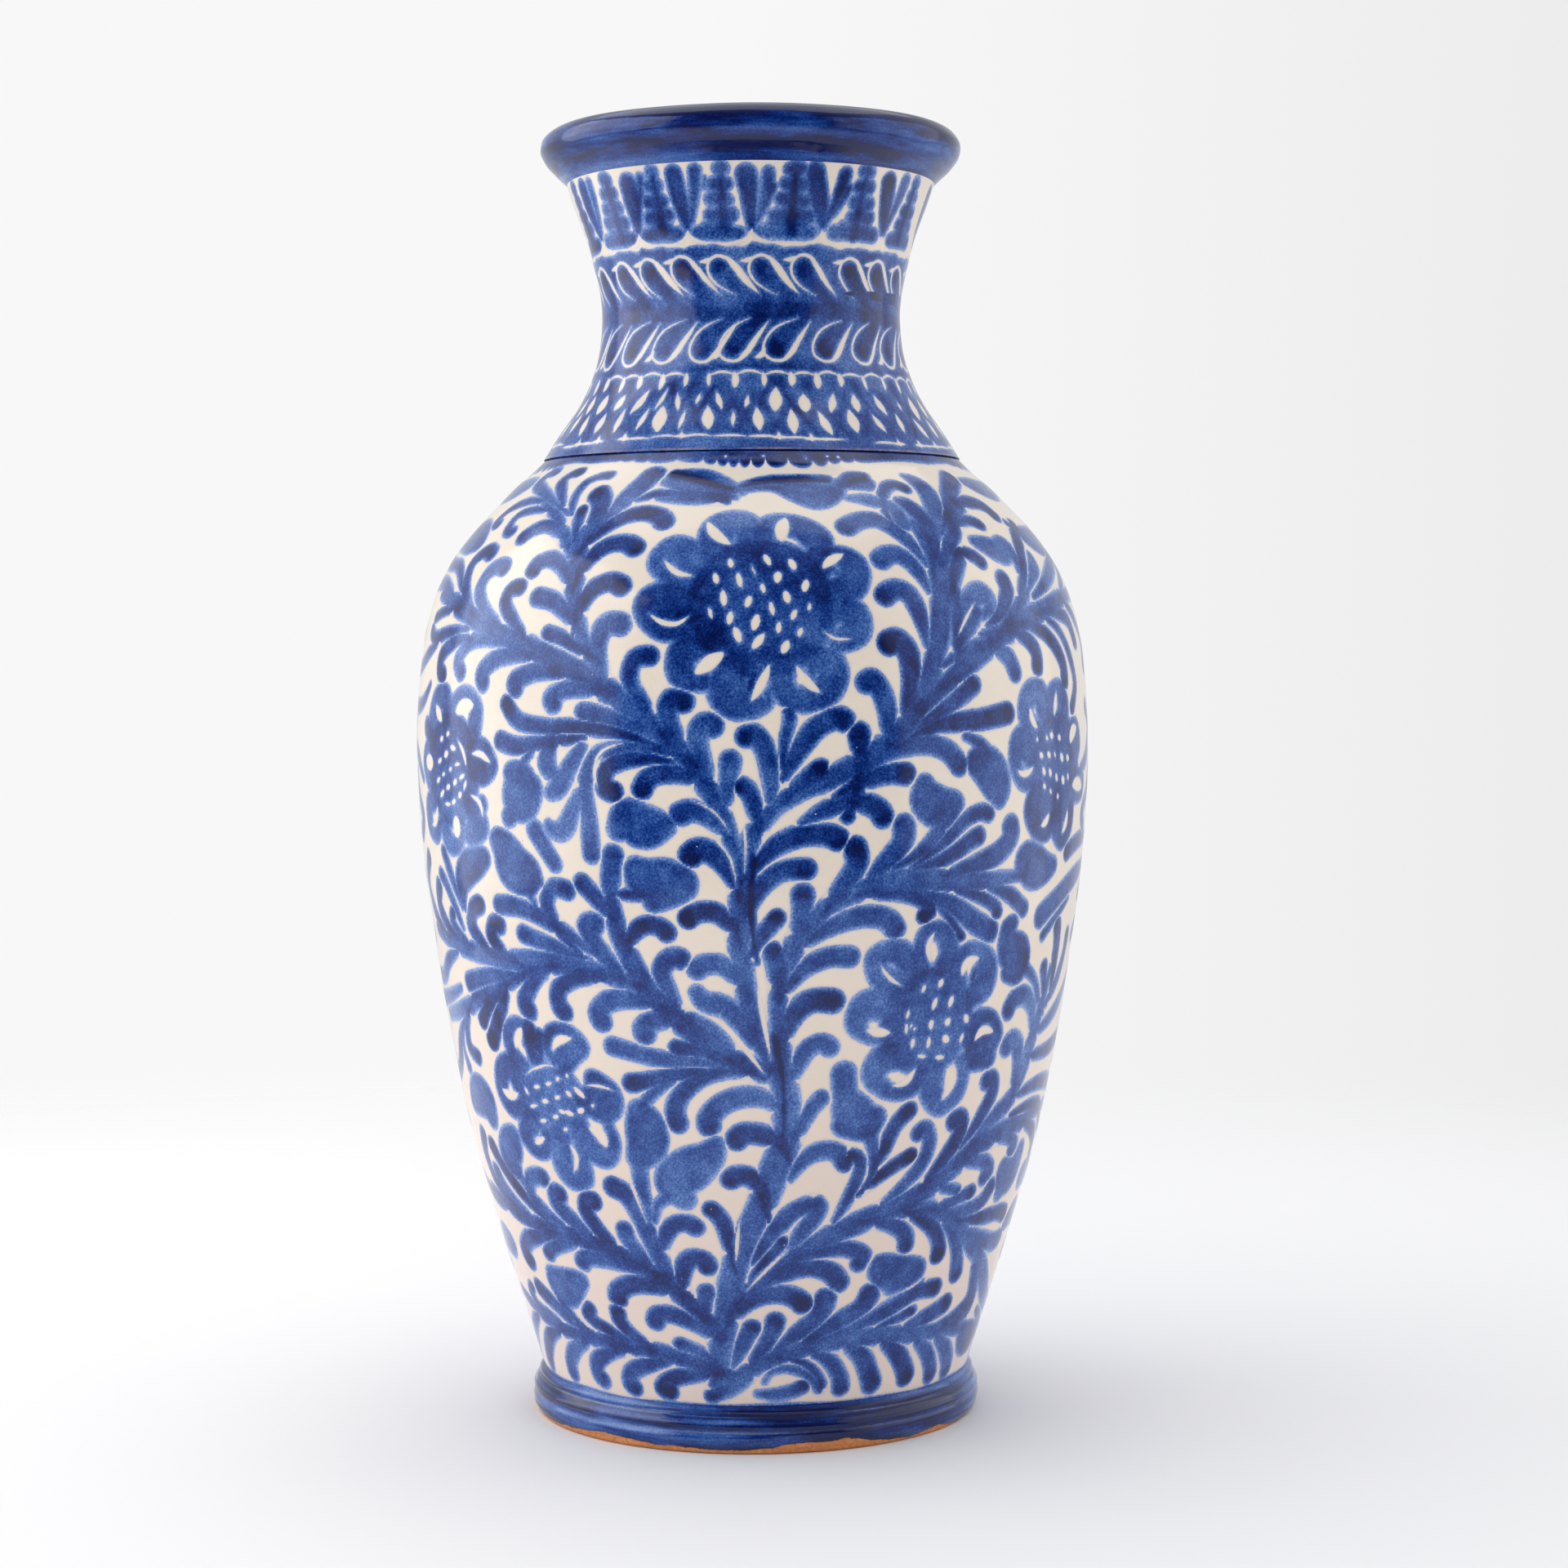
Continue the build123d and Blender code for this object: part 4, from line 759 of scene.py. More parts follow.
def to_back(row, lead, cols, seed):
    """The same touch on the far side: reflected in the plane through +90 and -90 degrees, then drifting a little from the front's."""
    p = np.array(row[lead:], float).reshape(-1, cols)
    t, z = 180 - p[:, 0], p[:, 1]
    away = np.clip(np.cos(np.radians(p[:, 0])) * 2.2, 0, 1)
    th = np.radians(t)
    p[:, 0] = t + away * (2.4 * np.sin(z / 34 + 0.8) + 1.6 * np.sin(3 * th + z / 21))
    p[:, 1] = z + away * (3.0 * np.sin(2 * th + 0.6) * np.clip((z - 16) / 20, 0, 1) * np.clip((292 - z) / 20, 0, 1) + 1.2 * np.sin(5 * th + z / 16) * np.clip((z - 16) / 20, 0, 1) * np.clip((292 - z) / 20, 0, 1))
    if cols == 3:
        p[:, 2] *= 1 + 0.05 * math.sin(seed * 7.3)
    return list(row[:lead]) + list(p.ravel())


def paint_body(cv):
    for back in (False, True):
        n = 0

        def side(row, lead, cols):
            return to_back(row, lead, cols, n) if back else row

        for table, load in ((STEMS, 0.84), (PETALS, 0.86), (FILLS, 0.86)):
            for row in table:
                n += 1
                touch(cv, side(row, 0, 3), load * (0.86 + 0.32 * rng.random()), surface=on_body, per_mm=1.2)
        for row in LEAVES:
            n += 1
            leaf(cv, side(row, 2, 2), 0.80 + 0.34 * rng.random(), 0.22, surface=on_body)
        for row in ACCENTS:
            n += 1
            leaf(cv, side(row, 2, 2), 1.62, 0.0, surface=on_body, seam=False)
        for row in GAPS:
            n += 1
            row = side(row, 1, 2)
            gap(cv, (row[0] * 0.96, *row[1:]) if len(row) == 5 else row, surface=on_body)
    for side in (1, -1):
        touch(cv, [v for off, z, w in SIDE_STEM for v in (side * (90 - off), z, w)], 0.86, surface=on_body, per_mm=1.2)
        for way in (1, -1):
            for k, (tail, head, *row) in enumerate(SIDE_LEAVES[side]):
                p = np.array(row).reshape(-1, 2)
                off = np.where(p[:, 0] > 2, way * p[:, 0] * (1 + 0.05 * math.sin(k * 2.1 + way)), p[:, 0])
                rise = (0 if way == 1 else 1.6 * math.sin(k * 1.7)) * np.clip((p[:, 1] - 20) / 8, 0, 1)
                leaf(cv, (tail, head, *np.stack([side * (90 - off), p[:, 1] + rise], -1).ravel()), 0.82 + 0.40 * rng.random(), 0.22, surface=on_body)
    # the deep band under the neck, its lower edge in short uneven scallops
    th = np.degrees(np.arctan2(cv.p[:, 0], -cv.p[:, 1]))
    z = cv.p[:, 2]
    rad = np.radians(th)
    beat = np.abs(np.cos(rad * 37 + 2.3 * np.sin(rad * 5) + 1.5 * np.sin(rad * 13 + 1))) ** 0.5
    drop = 1.2 + 1.3 * np.sin(rad * 4 + 1.3) + 0.35 * np.sin(rad * 9 + 0.4)
    fill_zone(cv, (295.2 - np.clip(drop, 0.1, 2.9) * beat + 0.25 * np.sin(rad * 19) - z).astype(np.float32), 1.2)
    # the glaze line of the foot climbs a little onto the body
    fill_zone(cv, (z - 14.75 - 0.35 * np.sin(np.radians(th) * 5 + 1) - 0.25 * np.sin(np.radians(th) * 13)).astype(np.float32), 0.9)


def round_neck(front, pitch):
    """Places right round: the front's own, then the rest at about the same pitch."""
    first, last = front[0], front[-1]
    span = first + 360 - last
    count = max(1, int(round(span / pitch)))
    return list(front) + [last + span * (i + (0.12 * math.sin(i * 2.3))) / count for i in range(1, count)]


# TREES: the stepped trees of the neck: the middle, then (height, left, right) of each tier.
TREES = [
    (-74.5, (381.2, -77.6, -71.4), (377, -78.4, -70.8), (372.6, -79.4, -70.2), (368.4, -80.6, -68.6), (363.4, -83.4, -66)),
    (-50.6, (381.0, -54, -47.6), (377, -55.6, -46.6), (372.6, -57, -46), (368.4, -58.4, -45), (363.4, -61.6, -42.8)),
    (-31, (381.4, -33.4, -28.8), (377.6, -35.4, -27.8), (373.2, -36.8, -27), (368.8, -38, -25.6), (363.6, -40.2, -23)),
    (-8.6, (381.6, -11.2, -5.8), (377.2, -13.4, -5), (372.8, -14.4, -5), (368.6, -15, -3.6), (363.2, -20, -1.4)),
    (14.4, (381.4, 10.6, 18.2), (377.2, 9.6, 19.4), (372.6, 8.4, 20.8), (368.2, 6.2, 22.8), (363.6, 2, 24.2)),
    (38.6, (382, 35.4, 42), (377.6, 34.6, 43.2), (373, 34, 44.6), (368.8, 34.2, 46.2), (364.2, 28, 50)),
    (64.2, (381, 61.6, 67.2), (377, 60.8, 68.6), (372.6, 59.6, 70.4), (368.4, 58.6, 71.6), (364, 55.6, 74)),
]
# SPRIGS: between the trees, each a fat drop and one or two small ones: (angle, height, width) at each point.
SPRIGS = [
    ((-65.4, 380.2, 6.0, -65.6, 375, 6.2, -65, 370, 4.8, -64, 365.4, 2.6), (-60, 381, 3.8, -60.2, 378, 3.8, -61.4, 372, 3.2, -62.8, 367, 2.4)),
    ((-40.8, 378.8, 7.2, -41, 374.6, 6.8, -41.2, 370, 5.4, -41.6, 364.8, 3), (-35.6, 380.4, 3.2, -37, 376, 3.2, -38.8, 372, 2.6, -40, 368, 2)),
    ((-23.6, 380.6, 5.6, -23.2, 376, 5.8, -22.2, 370, 4.8, -21.4, 364.8, 2.8), (-16.6, 381.2, 4.4, -17, 378, 4.2, -18.4, 372, 3.4, -20, 367, 2.4), (-13.7, 379, 1.7, -14.1, 376.4, 1.7)),
    ((-0.8, 379.8, 6.6, 0, 375, 5.8, 0.4, 370, 4.6, 0.9, 365, 3), (6, 380.4, 4, 5.8, 377, 4, 4.6, 372.4, 3.4, 2.8, 367, 2.4), (7.4, 376.6, 3, 6, 373, 2.8, 4.2, 369, 2.2)),
    ((20.6, 380.8, 6.4, 22, 376, 6.6, 24, 371, 5.8, 25.8, 366, 3.6), (31, 380.8, 4.6, 30.4, 377.4, 4.4, 29, 372.4, 3.6, 27, 367.4, 2.6), (33, 376.8, 3.2, 31.2, 373, 3, 29.2, 369.4, 2.2)),
    ((48.8, 379.8, 6.4, 50.2, 375, 6.2, 51.6, 370, 5, 52.8, 365.6, 3), (57.2, 381, 4.8, 56.6, 377.4, 4.4, 55.4, 372, 3.6, 53.8, 367, 2.6)),
]
# DABS: the ivory dabs of the trellis: (widest, angle, height, length, slant in degrees from foot to head).
DABS = [
    (1.8, -71, 313.6, 5, 1), (2.2, -63.5, 314, 4.6, -1), (2.6, -55, 313.6, 5, 0.6), (2.0, -46, 313.8, 4, 2), (1.9, -37, 313.6, 6, 4), (1.0, -29, 314.2, 5.4, 2.4),
    (1.1, -23, 313.2, 4.6, -1.8), (0.9, -16.4, 314, 2.6, 0.8), (1.2, -9.6, 313.4, 4.6, -2.4), (1.0, -0.9, 313, 3, 0.8), (2.6, 8, 313.6, 6.2, 1), (2.5, 17, 312.6, 4.6, 0.4),
    (1.7, 26.4, 312.8, 5.2, 3), (2.0, 35, 313, 4.6, 0.8), (1.8, 45, 312.8, 5, -1.8), (0.8, 55, 313, 2.4, 0.4), (2.5, 64, 312.6, 6, 2), (2.0, 73, 313, 5, 1),
    (1.8, -67, 308.6, 5, 0), (1.9, -59, 307.4, 5.4, -2), (2.1, -50.2, 307.6, 5, 0.4), (1.6, -42, 308, 6.4, 0), (1.3, -33.2, 308, 5.6, 1.6), (3.0, -27.2, 308, 6.8, -1),
    (1.0, -20, 307.6, 4.6, 0.6), (2.4, -12.2, 308, 6, -1.4), (0.9, -4.8, 307.8, 4, 0), (2.1, 2.4, 307.6, 6, -0.8), (2.2, 12.4, 306.8, 6.4, 0), (1.9, 22, 306.4, 6.2, -2.6),
    (2.5, 31.4, 307.4, 6, 0), (1.5, 40.6, 307, 4.6, -2.4), (1.5, 50, 307.4, 5, 0.6), (1.6, 60, 306.2, 5, -2.6), (1.7, 69, 306.6, 4.6, -0.6),
]


def paint_neck(cv):
    th = np.degrees(np.arctan2(cv.p[:, 0], -cv.p[:, 1]))
    z = cv.p[:, 2]
    s = on_neck
    # two of each front table go round the vase: the far side repeats the front with small changes
    trees = list(TREES)
    for (mid, *tiers), shift in zip(TREES, (178.5, 181.2, 179.2, 181, 178.8, 180.8, 179)):
        k = 1 + 0.10 * (rng.random() - 0.5)
        trees.append((mid + shift, *[(zz, mid + (a - mid) * k + shift, mid + (b - mid) * k + shift) for zz, a, b in tiers]))
    sprigs = list(SPRIGS)
    for drops, shift in zip(SPRIGS, (179, 180.8, 178.9, 181.4, 179.2, 180.6)):
        sprigs.append(tuple(tuple(v + (shift if i % 3 == 0 else 0) for i, v in enumerate(d)) for d in drops))
    for at in (84.6, -95.2):
        sprigs.append(((at - 3, 379.8, 6.4, at - 2.6, 375, 6, at - 1.4, 370, 4.8, at, 365, 2.8), (at + 4.4, 380.8, 4.4, at + 4, 377, 4.2, at + 2.8, 372, 3.4, at + 1, 367, 2.4)))
    feet = sorted((d[0][-3] + 180) % 360 - 180 for d in sprigs)
    feet = [feet[-1] - 360] + feet + [feet[0] + 360]
    # the wash under the trees, its edge scalloped from sprig to sprig
    full = np.where(th < feet[1] - 30, th + 360, th)
    k = np.clip(np.searchsorted(feet, full) - 1, 0, len(feet) - 2)
    f = np.array(feet)
    u = np.clip((full - f[k]) / (f[k + 1] - f[k]), 0, 1) * 2 - 1
    edge = 359.9 + 1.2 * np.abs(u) ** 6 * (0.6 + 0.4 * np.sin(full * 0.13)) + 0.45 * np.sin(full * 0.33) + 0.2 * np.sin(full * 0.9)
    fill_zone(cv, (z - edge).astype(np.float32), 0.80)
    for mid, *tiers in trees:
        for i, (zz, left, right) in enumerate(tiers):
            w = (4.6, 4.9, 5.1, 5.1, 5.0)[i]
            half = math.degrees(w / 2 / 50)
            a, b = min(left + half - 0.5, mid - 0.2), max(right - half + 0.5, mid + 0.2)
            tilt = 0.7 * (rng.random() - 0.5)
            touch(cv, (a, zz - tilt, w, mid, zz + 0.3, w * 1.04, b, zz + tilt, w), 0.70 + 0.42 * rng.random(), surface=s)
            if i:
                up = (zz + tiers[i - 1][0]) / 2
                touch(cv, (min(a + 2.8, mid - 0.2), up, 2.8, max(b - 2.8, mid + 0.2), up, 2.8), 0.68 + 0.3 * rng.random(), surface=s)
        touch(cv, (mid, 380, 3.2, mid, 371, 4.4, mid, 364, 5), 0.95 + 0.3 * rng.random(), surface=s)
    for drops in sprigs:
        for i, row in enumerate(drops):
            row = [v * (1.05 if k % 3 == 2 else 1) for k, v in enumerate(row)]
            touch(cv, row, (0.92 if i == 0 else 0.80) + 0.36 * rng.random(), surface=s)
    # slits of ivory at the foot of each sprig
    for t in feet[1:-1]:
        q = 0.8 + 0.5 * rng.random()
        line(cv, (t - 13 * q, 360.5, 0.3, t - 6, 360.6, 0.9, t - 1.6, 361.7, 1.6, t, 364.2, 0.7), surface=s)
        q = 0.7 + 0.5 * rng.random()
        line(cv, (t + 13 * q, 360.7, 0.3, t + 6.4, 360.7, 0.8, t + 1.8, 361.7, 1.5, t, 363.6, 0.7), surface=s)
    fill_zone(cv, (384.5 - z + 0.35 * np.sin(th * 0.21) + 0.2 * np.sin(th * 0.47 + 1)).astype(np.float32), 0.9)
    # the garland round the middle: a dark stem with leaves above and below it
    stem = np.arange(-180, 181, 12.0)
    row = [v for t in stem for v in (t, 340.6 + 0.7 * math.sin(t * 0.07), 6.4 + 1.0 * math.sin(t * 0.21))]
    touch(cv, row, 1.02, surface=s, per_mm=1.5)
    row = [v for t in stem for v in (t, 323.4 + 0.5 * math.sin(t * 0.09 + 1), 3.8)]
    touch(cv, row, 0.92, surface=s, per_mm=1.5)
    fill_zone(cv, (np.abs(z - 344.5) - 13.5).astype(np.float32), 0.66)
    fill_zone(cv, (np.abs(z - 331.5) - 9.0).astype(np.float32), 0.66)
    up = round_neck([-72, -54, -39.5, -25, -10.5, 4.6, 20, 39.5, 54, 70], 16)
    for h in up:
        leaf(cv, (2.6, 6.2, h + 15, 342, h + 9.6, 344.4, h + 4.6, 348.8, h + 0.2, 353), 0.74 + 0.34 * rng.random(), 0.40, surface=s)
        j = 0.8 * (rng.random() - 0.5)
        wide = 1.5 + 0.9 * rng.random()
        line(cv, (h + 3 + 3 * rng.random(), 345.4, 0.2, h - 2.0, 348.8, 0.8, h - 4.7, 352.2, 0.9, h - 4.2, 355.3, 0.9, h - 1.2, 357.0 + j, 1.0, h + 2.4, 356.3 + j, 1.2,
                  h + 5.2, 353.8, wide, h + 9.2, 349.6, wide * 0.9, h + 14.2, 345.6, 0.2), surface=s)
        line(cv, (h - 8, 355.4 + j, 0.2, h - 5.4, 355.6 + j, 1.5, h - 3, 356.3 + j, 0.9), surface=s)
    down = round_neck([-64, -49, -33, -17.4, -6.4, 9.6, 28, 45, 61], 16)
    for h in down:
        leaf(cv, (2.6, 6.6, h + 14, 339.8, h + 9.4, 337.6, h + 4.2, 333.8, h + 0.2, 329.6), 0.74 + 0.36 * rng.random(), 0.40, surface=s)
        j = 0.7 * (rng.random() - 0.5)
        wide = 1.2 + 0.9 * rng.random()
        line(cv, (h + 6 + 3 * rng.random(), 338.4, 0.2, h - 0.8, 335.2, 0.8, h - 4.4, 331, 0.8, h - 4.5, 327.7, 0.9, h - 1.8, 325.6 + j, 1.0, h + 2, 325.5 + j, 1.1,
                  h + 5.0, 327.8, wide, h + 8.8, 332.4, wide * 0.9, h + 13.4, 337.6, 0.2), surface=s)
        if rng.random() < 0.8:
            line(cv, (h - 8, 326.2 + j, 0.2, h - 5.6, 327.0 + j, 1.9, h - 4.4, 329.2, 0.8), surface=s)
    # the scalloped line over the trellis, with small points hanging from it
    hang = round_neck([-67, -59, -49, -40.5, -31, -22, -14, -5, 4.6, 14, 23, 32, 42, 52, 61], 9.1)
    ends = hang + [hang[0] + 360]
    for a, b in zip(ends, ends[1:]):
        mid, rise = (a + b) / 2, 0.9 + 0.6 * rng.random()
        if rng.random() < 0.86:
            gap(cv, (0.95, a - 1.0, 320.7, mid, 321.0 + rise, b + 1.0, 320.8), surface=s)
        gap(cv, (1.4 + 1.3 * rng.random(), a - 0.2, 322.2, a + 0.2, 319.6, a + 1.0 * (rng.random() - 0.5), 316.8 + 1.6 * rng.random()), surface=s)
        touch(cv, (mid, 319.2, 5.6, mid + 0.3, 314.4, 4.4), 0.66 + 0.44 * rng.random(), surface=s)
    # the trellis of dabs
    fill_zone(cv, (np.abs(z - 309.5) - 12.5).astype(np.float32), 0.50)
    dabs = list(DABS)
    for w, t, zz, h, slant in DABS:
        dabs.append((w * (0.7 + 0.5 * rng.random()), t + 180 + 0.8 * (rng.random() - 0.5), zz, h * (0.85 + 0.25 * rng.random()), slant))
    dabs += [(1.9, 82, 313.4, 5, 1), (1.8, 78, 307.4, 5.2, 0), (2.0, 87, 307.2, 5.4, 1), (1.9, 95.6, 313.4, 4.8, 0), (1.8, -80, 313.4, 4.8, 1), (1.9, -76, 307.6, 5, 0), (1.8, -85.5, 307.2, 5.4, -1), (1.8, -90, 313.2, 4.6, 1), (1.7, -96, 307.4, 5, 0)]
    for w, t, zz, h, slant in dabs:
        line(cv, (t + slant / 2, zz + h * 0.62, 0.2, t + slant / 5, zz + h * 0.24, w * 1.15, t, zz - h * 0.04, w * 1.6, t - slant / 3, zz - h * 0.36, w * 0.95, t - slant / 2, zz - h * 0.60, 0.2), surface=s)
        for way in (-1, 1):
            touch(cv, (t + way * 2.4, zz + 4.6, 3.0, t + way * 4.3, zz, 3.6, t + way * 6.6, zz - 4.4, 2.6), 0.62 + 0.48 * rng.random(), surface=s)
    # the broken line above the seam
    base = round_neck([-66, -56, -47, -37, -28, -19, -10, -1, 8, 17, 27, 36, 45, 54, 63], 9.2)
    ends = base + [base[0] + 360]
    for a, b in zip(ends, ends[1:]):
        j = 301.5 + 0.9 * math.sin(a * 0.045 + 2.4)
        if rng.random() < 0.72:
            gap(cv, (0.8 + 0.3 * rng.random(), a - 0.6, j, (a + b) / 2, j + 0.5 * rng.random(), b + 0.4, j), surface=s)
        if rng.random() < 0.6:
            line(cv, (a - 0.2, j + 1.9, 0.2, a, j + 0.8, 1.0 + 0.6 * rng.random(), a + 0.1, j - 0.1, 1.3), surface=s)
            line(cv, (a - 2.4, j, 0.3, a, j + 0.2, 1.3, a + 2.6, j, 0.3), surface=s)
    fill_zone(cv, (z - 300.2 - 0.2 * np.sin(th * 0.3)).astype(np.float32), 0.78)


# ---- meshes ----
def wobble(theta, z, low, high, size=1.0):
    """How far the hand-thrown surface stands off the true turned form, in mm, fading out at both ends of the piece."""
    fade = np.clip((z - low) / 4, 0, 1) * np.clip((high - z) / 4, 0, 1)
    w = 0.16 * np.sin(2 * theta + 0.5 + z / 90) + 0.07 * np.sin(3 * theta - z / 31) + 0.035 * np.sin(5 * theta + z / 13)
    rings = 0.05 * np.sin(z / 1.9 + 1.4 * np.sin(theta + z / 40)) * (0.6 + 0.4 * np.sin(z / 17 + theta)) + 0.07 * np.sin(z / 6.3 + np.sin(theta))
    return size * fade * (w + rings)


def ring_grid(profile, columns, displace):
    """Points and normals of a turned surface, in mm, with the hand-made unevenness; rows follow the profile."""
    theta = np.arange(columns) * (2 * math.pi / columns) - math.pi
    r, z = profile[:, :1], profile[:, 1:2]
    t = np.gradient(profile, axis=0)
    n = np.stack([t[:, 1], -t[:, 0]], -1)
    n /= np.linalg.norm(n, axis=1, keepdims=True)
    true = np.stack([r * np.sin(theta), -r * np.cos(theta), z + 0 * theta], -1)
    d = displace(theta[None, :], z)
    rr, zz = r + d * n[:, :1], z + d * n[:, 1:2]
    p = np.stack([rr * np.sin(theta), -rr * np.cos(theta), zz], -1)
    du = np.gradient(p, axis=0)
    dv = np.roll(p, -1, 1) - np.roll(p, 1, 1)
    nn = np.cross(dv, du)
    nn /= np.linalg.norm(nn, axis=2, keepdims=True)
    return theta, true, p, nn


def shell(name, p, nn, attributes, material, closed, node, depth=0.35, every=24):
    """A closed thin coat: the fine outer face, a coarser inner face depth mm behind it, and edges that join them."""
    m, n = p.shape[:2]
    rows = sorted(set(list(range(0, m, every)) + [m - 1]))
    inner = p[rows] - depth * nn[rows]
    verts = np.concatenate([p.reshape(-1, 3), inner.reshape(-1, 3)]) * MM
    normals = np.concatenate([nn.reshape(-1, 3), -nn[rows].reshape(-1, 3)])
    off = m * n
    span = n if closed else n - 1
    i, j = np.meshgrid(np.arange(m - 1), np.arange(span), indexing="ij")
    j1 = (j + 1) % n
    quads = [np.stack([i * n + j, i * n + j1, (i + 1) * n + j1, (i + 1) * n + j], -1).reshape(-1, 4)]
    i, j = np.meshgrid(np.arange(len(rows) - 1), np.arange(span), indexing="ij")
    j1 = (j + 1) % n
    quads.append(off + np.stack([i * n + j, (i + 1) * n + j, (i + 1) * n + j1, i * n + j1], -1).reshape(-1, 4))
    j = np.arange(span)
    j1 = (j + 1) % n
    last, inlast = (m - 1) * n, off + (len(rows) - 1) * n
    quads.append(np.stack([j1, j, off + j, off + j1], -1))
    quads.append(np.stack([last + j, last + j1, inlast + j1, inlast + j], -1))
    quads = np.concatenate(quads)
    sides = []
    if not closed:
        for k, (a, b) in enumerate(zip(rows, rows[1:])):
            out0 = [q * n for q in range(a, b + 1)]
            sides.append(out0 + [off + (k + 1) * n, off + k * n])
            out1 = [q * n + n - 1 for q in range(b, a - 1, -1)]
            sides.append(out1 + [off + k * n + n - 1, off + (k + 1) * n + n - 1])
    loops = np.concatenate([quads.ravel()] + [np.array(s) for s in sides]) if sides else quads.ravel()
    counts = np.concatenate([np.full(len(quads), 4)] + [np.array([len(s) for s in sides])]) if sides else np.full(len(quads), 4)
    me = bpy.data.meshes.new(name)
    me.vertices.add(len(verts))
    me.vertices.foreach_set("co", verts.astype(np.float32).ravel())
    me.loops.add(int(counts.sum()))
    me.loops.foreach_set("vertex_index", loops.astype(np.int32))
    me.polygons.add(len(counts))
    me.polygons.foreach_set("loop_start", np.concatenate([[0], np.cumsum(counts)[:-1]]).astype(np.int32))
    me.polygons.foreach_set("use_smooth", np.ones(len(counts), bool))
    me.update(calc_edges=True)
    me.validate()
    for key, values in attributes.items():
        a = me.attributes.new(key, "FLOAT", "POINT")
        a.data.foreach_set("value", np.concatenate([values.reshape(-1), values[rows].reshape(-1)]).astype(np.float32))
    me.normals_split_custom_set_from_vertices(normals.astype(np.float32))
    me.materials.append(material)
    o = bpy.data.objects.new(name, me)
    bpy.context.scene.collection.objects.link(o)
    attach(o, "root")
    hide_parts(node)
    return o


# ---- materials ----
class Nodes:
    """A short way to write node trees."""

    def __init__(self, name):
        self.m = bpy.data.materials.new(name)
        self.m.use_nodes = True
        self.t = self.m.node_tree
        self.t.nodes.clear()
        self.out = self.t.nodes.new("ShaderNodeOutputMaterial")
        self.where = self.t.nodes.new("ShaderNodeTexCoord").outputs["Object"]

    def put(self, socket, value):
        if isinstance(value, bpy.types.NodeSocket):
            self.t.links.new(value, socket)
        elif value is not None:
            socket.default_value = value

    def node(self, kind, inputs=None, **settings):
        n = self.t.nodes.new(kind)
        for k, v in settings.items():
            setattr(n, k, v)
        for k, v in (inputs or {}).items():
            self.put(n.inputs[k], v)
        return n

    def math(self, op, a, b=None, c=None, clamp=False):
        n = self.node("ShaderNodeMath", operation=op, use_clamp=clamp)
        for i, v in enumerate((a, b, c)):
            self.put(n.inputs[i], v)
        return n.outputs[0]

    def ease(self, x, lo, hi, a=0.0, b=1.0, smooth=True):
        n = self.node("ShaderNodeMapRange", interpolation_type="SMOOTHSTEP" if smooth else "LINEAR", clamp=True)
        for i, v in enumerate((x, lo, hi, a, b)):
            self.put(n.inputs[i], v)
        return n.outputs[0]

    def noise(self, scale, detail=2.0, rough=0.5, stretch=None, shift=(0, 0, 0), distort=0.0):
        """Noise from 0 to 1 about 0.5; scale is features per metre."""
        mp = self.node("ShaderNodeMapping", {"Vector": self.where, "Location": shift, "Scale": stretch or (1, 1, 1)})
        n = self.node("ShaderNodeTexNoise", {"Vector": mp.outputs[0], "Scale": scale, "Detail": detail, "Roughness": rough, "Distortion": distort})
        return n.outputs[0]

    def dots(self, scale, size, keep, shift=(0, 0, 0)):
        """1 in small round dots: cells per metre, the dot's radius in cells, and the share of the cells that have one."""
        mp = self.node("ShaderNodeMapping", {"Vector": self.where, "Location": shift})
        v = self.node("ShaderNodeTexVoronoi", {"Vector": mp.outputs[0], "Scale": scale, "Randomness": 1.0})
        c = self.node("ShaderNodeSeparateColor", {"Color": v.outputs["Color"]})
        radius = self.math("MULTIPLY", self.math("ADD", c.outputs[1], 0.35), size)
        on = self.math("LESS_THAN", c.outputs[0], keep)
        return self.math("MULTIPLY", self.ease(v.outputs["Distance"], radius, self.math("MULTIPLY", radius, 0.45), 0.0, 1.0), on)

    def attribute(self, name):
        return self.node("ShaderNodeAttribute", attribute_name=name).outputs["Fac"]

    def ramp(self, x, stops):
        n = self.node("ShaderNodeValToRGB", {"Fac": x})
        e = n.color_ramp.elements
        while len(e) > 1:
            e.remove(e[-1])
        for i, (pos, rgb) in enumerate(stops):
            s = e[0] if i == 0 else e.new(pos)
            s.position = pos
            s.color = (*srgb(rgb), 1)
        return n.outputs[0]

    def mix(self, f, a, b, how="MIX"):
        n = self.node("ShaderNodeMix", data_type="RGBA", blend_type=how, clamp_factor=True)
        self.put(n.inputs[0], f)
        self.put(n.inputs[6], a if isinstance(a, bpy.types.NodeSocket) else (*srgb(a), 1))
        self.put(n.inputs[7], b if isinstance(b, bpy.types.NodeSocket) else (*srgb(b), 1))
        return n.outputs[2]

    def finish(self, color, roughness, height=None, relief=1.0, ior=1.5, coat=0.0, coat_rough=0.03):
        p = self.node("ShaderNodeBsdfPrincipled", {"Base Color": color, "Roughness": roughness})
        p.inputs["IOR"].default_value = ior
        p.inputs["Coat Weight"].default_value = coat
        p.inputs["Coat Roughness"].default_value = coat_rough
        if height is not None:
            b = self.node("ShaderNodeBump", {"Height": height})
            b.inputs["Strength"].default_value = 1.0
            b.inputs["Distance"].default_value = relief
            self.t.links.new(b.outputs[0], p.inputs["Normal"])
        self.t.links.new(p.outputs[0], self.out.inputs["Surface"])
        return self.m


def srgb(c):
    """0..255 display values to scene-linear."""
    return tuple(((v / 255 + 0.055) / 1.055) ** 2.4 if v > 10 else v / 255 / 12.92 for v in c)


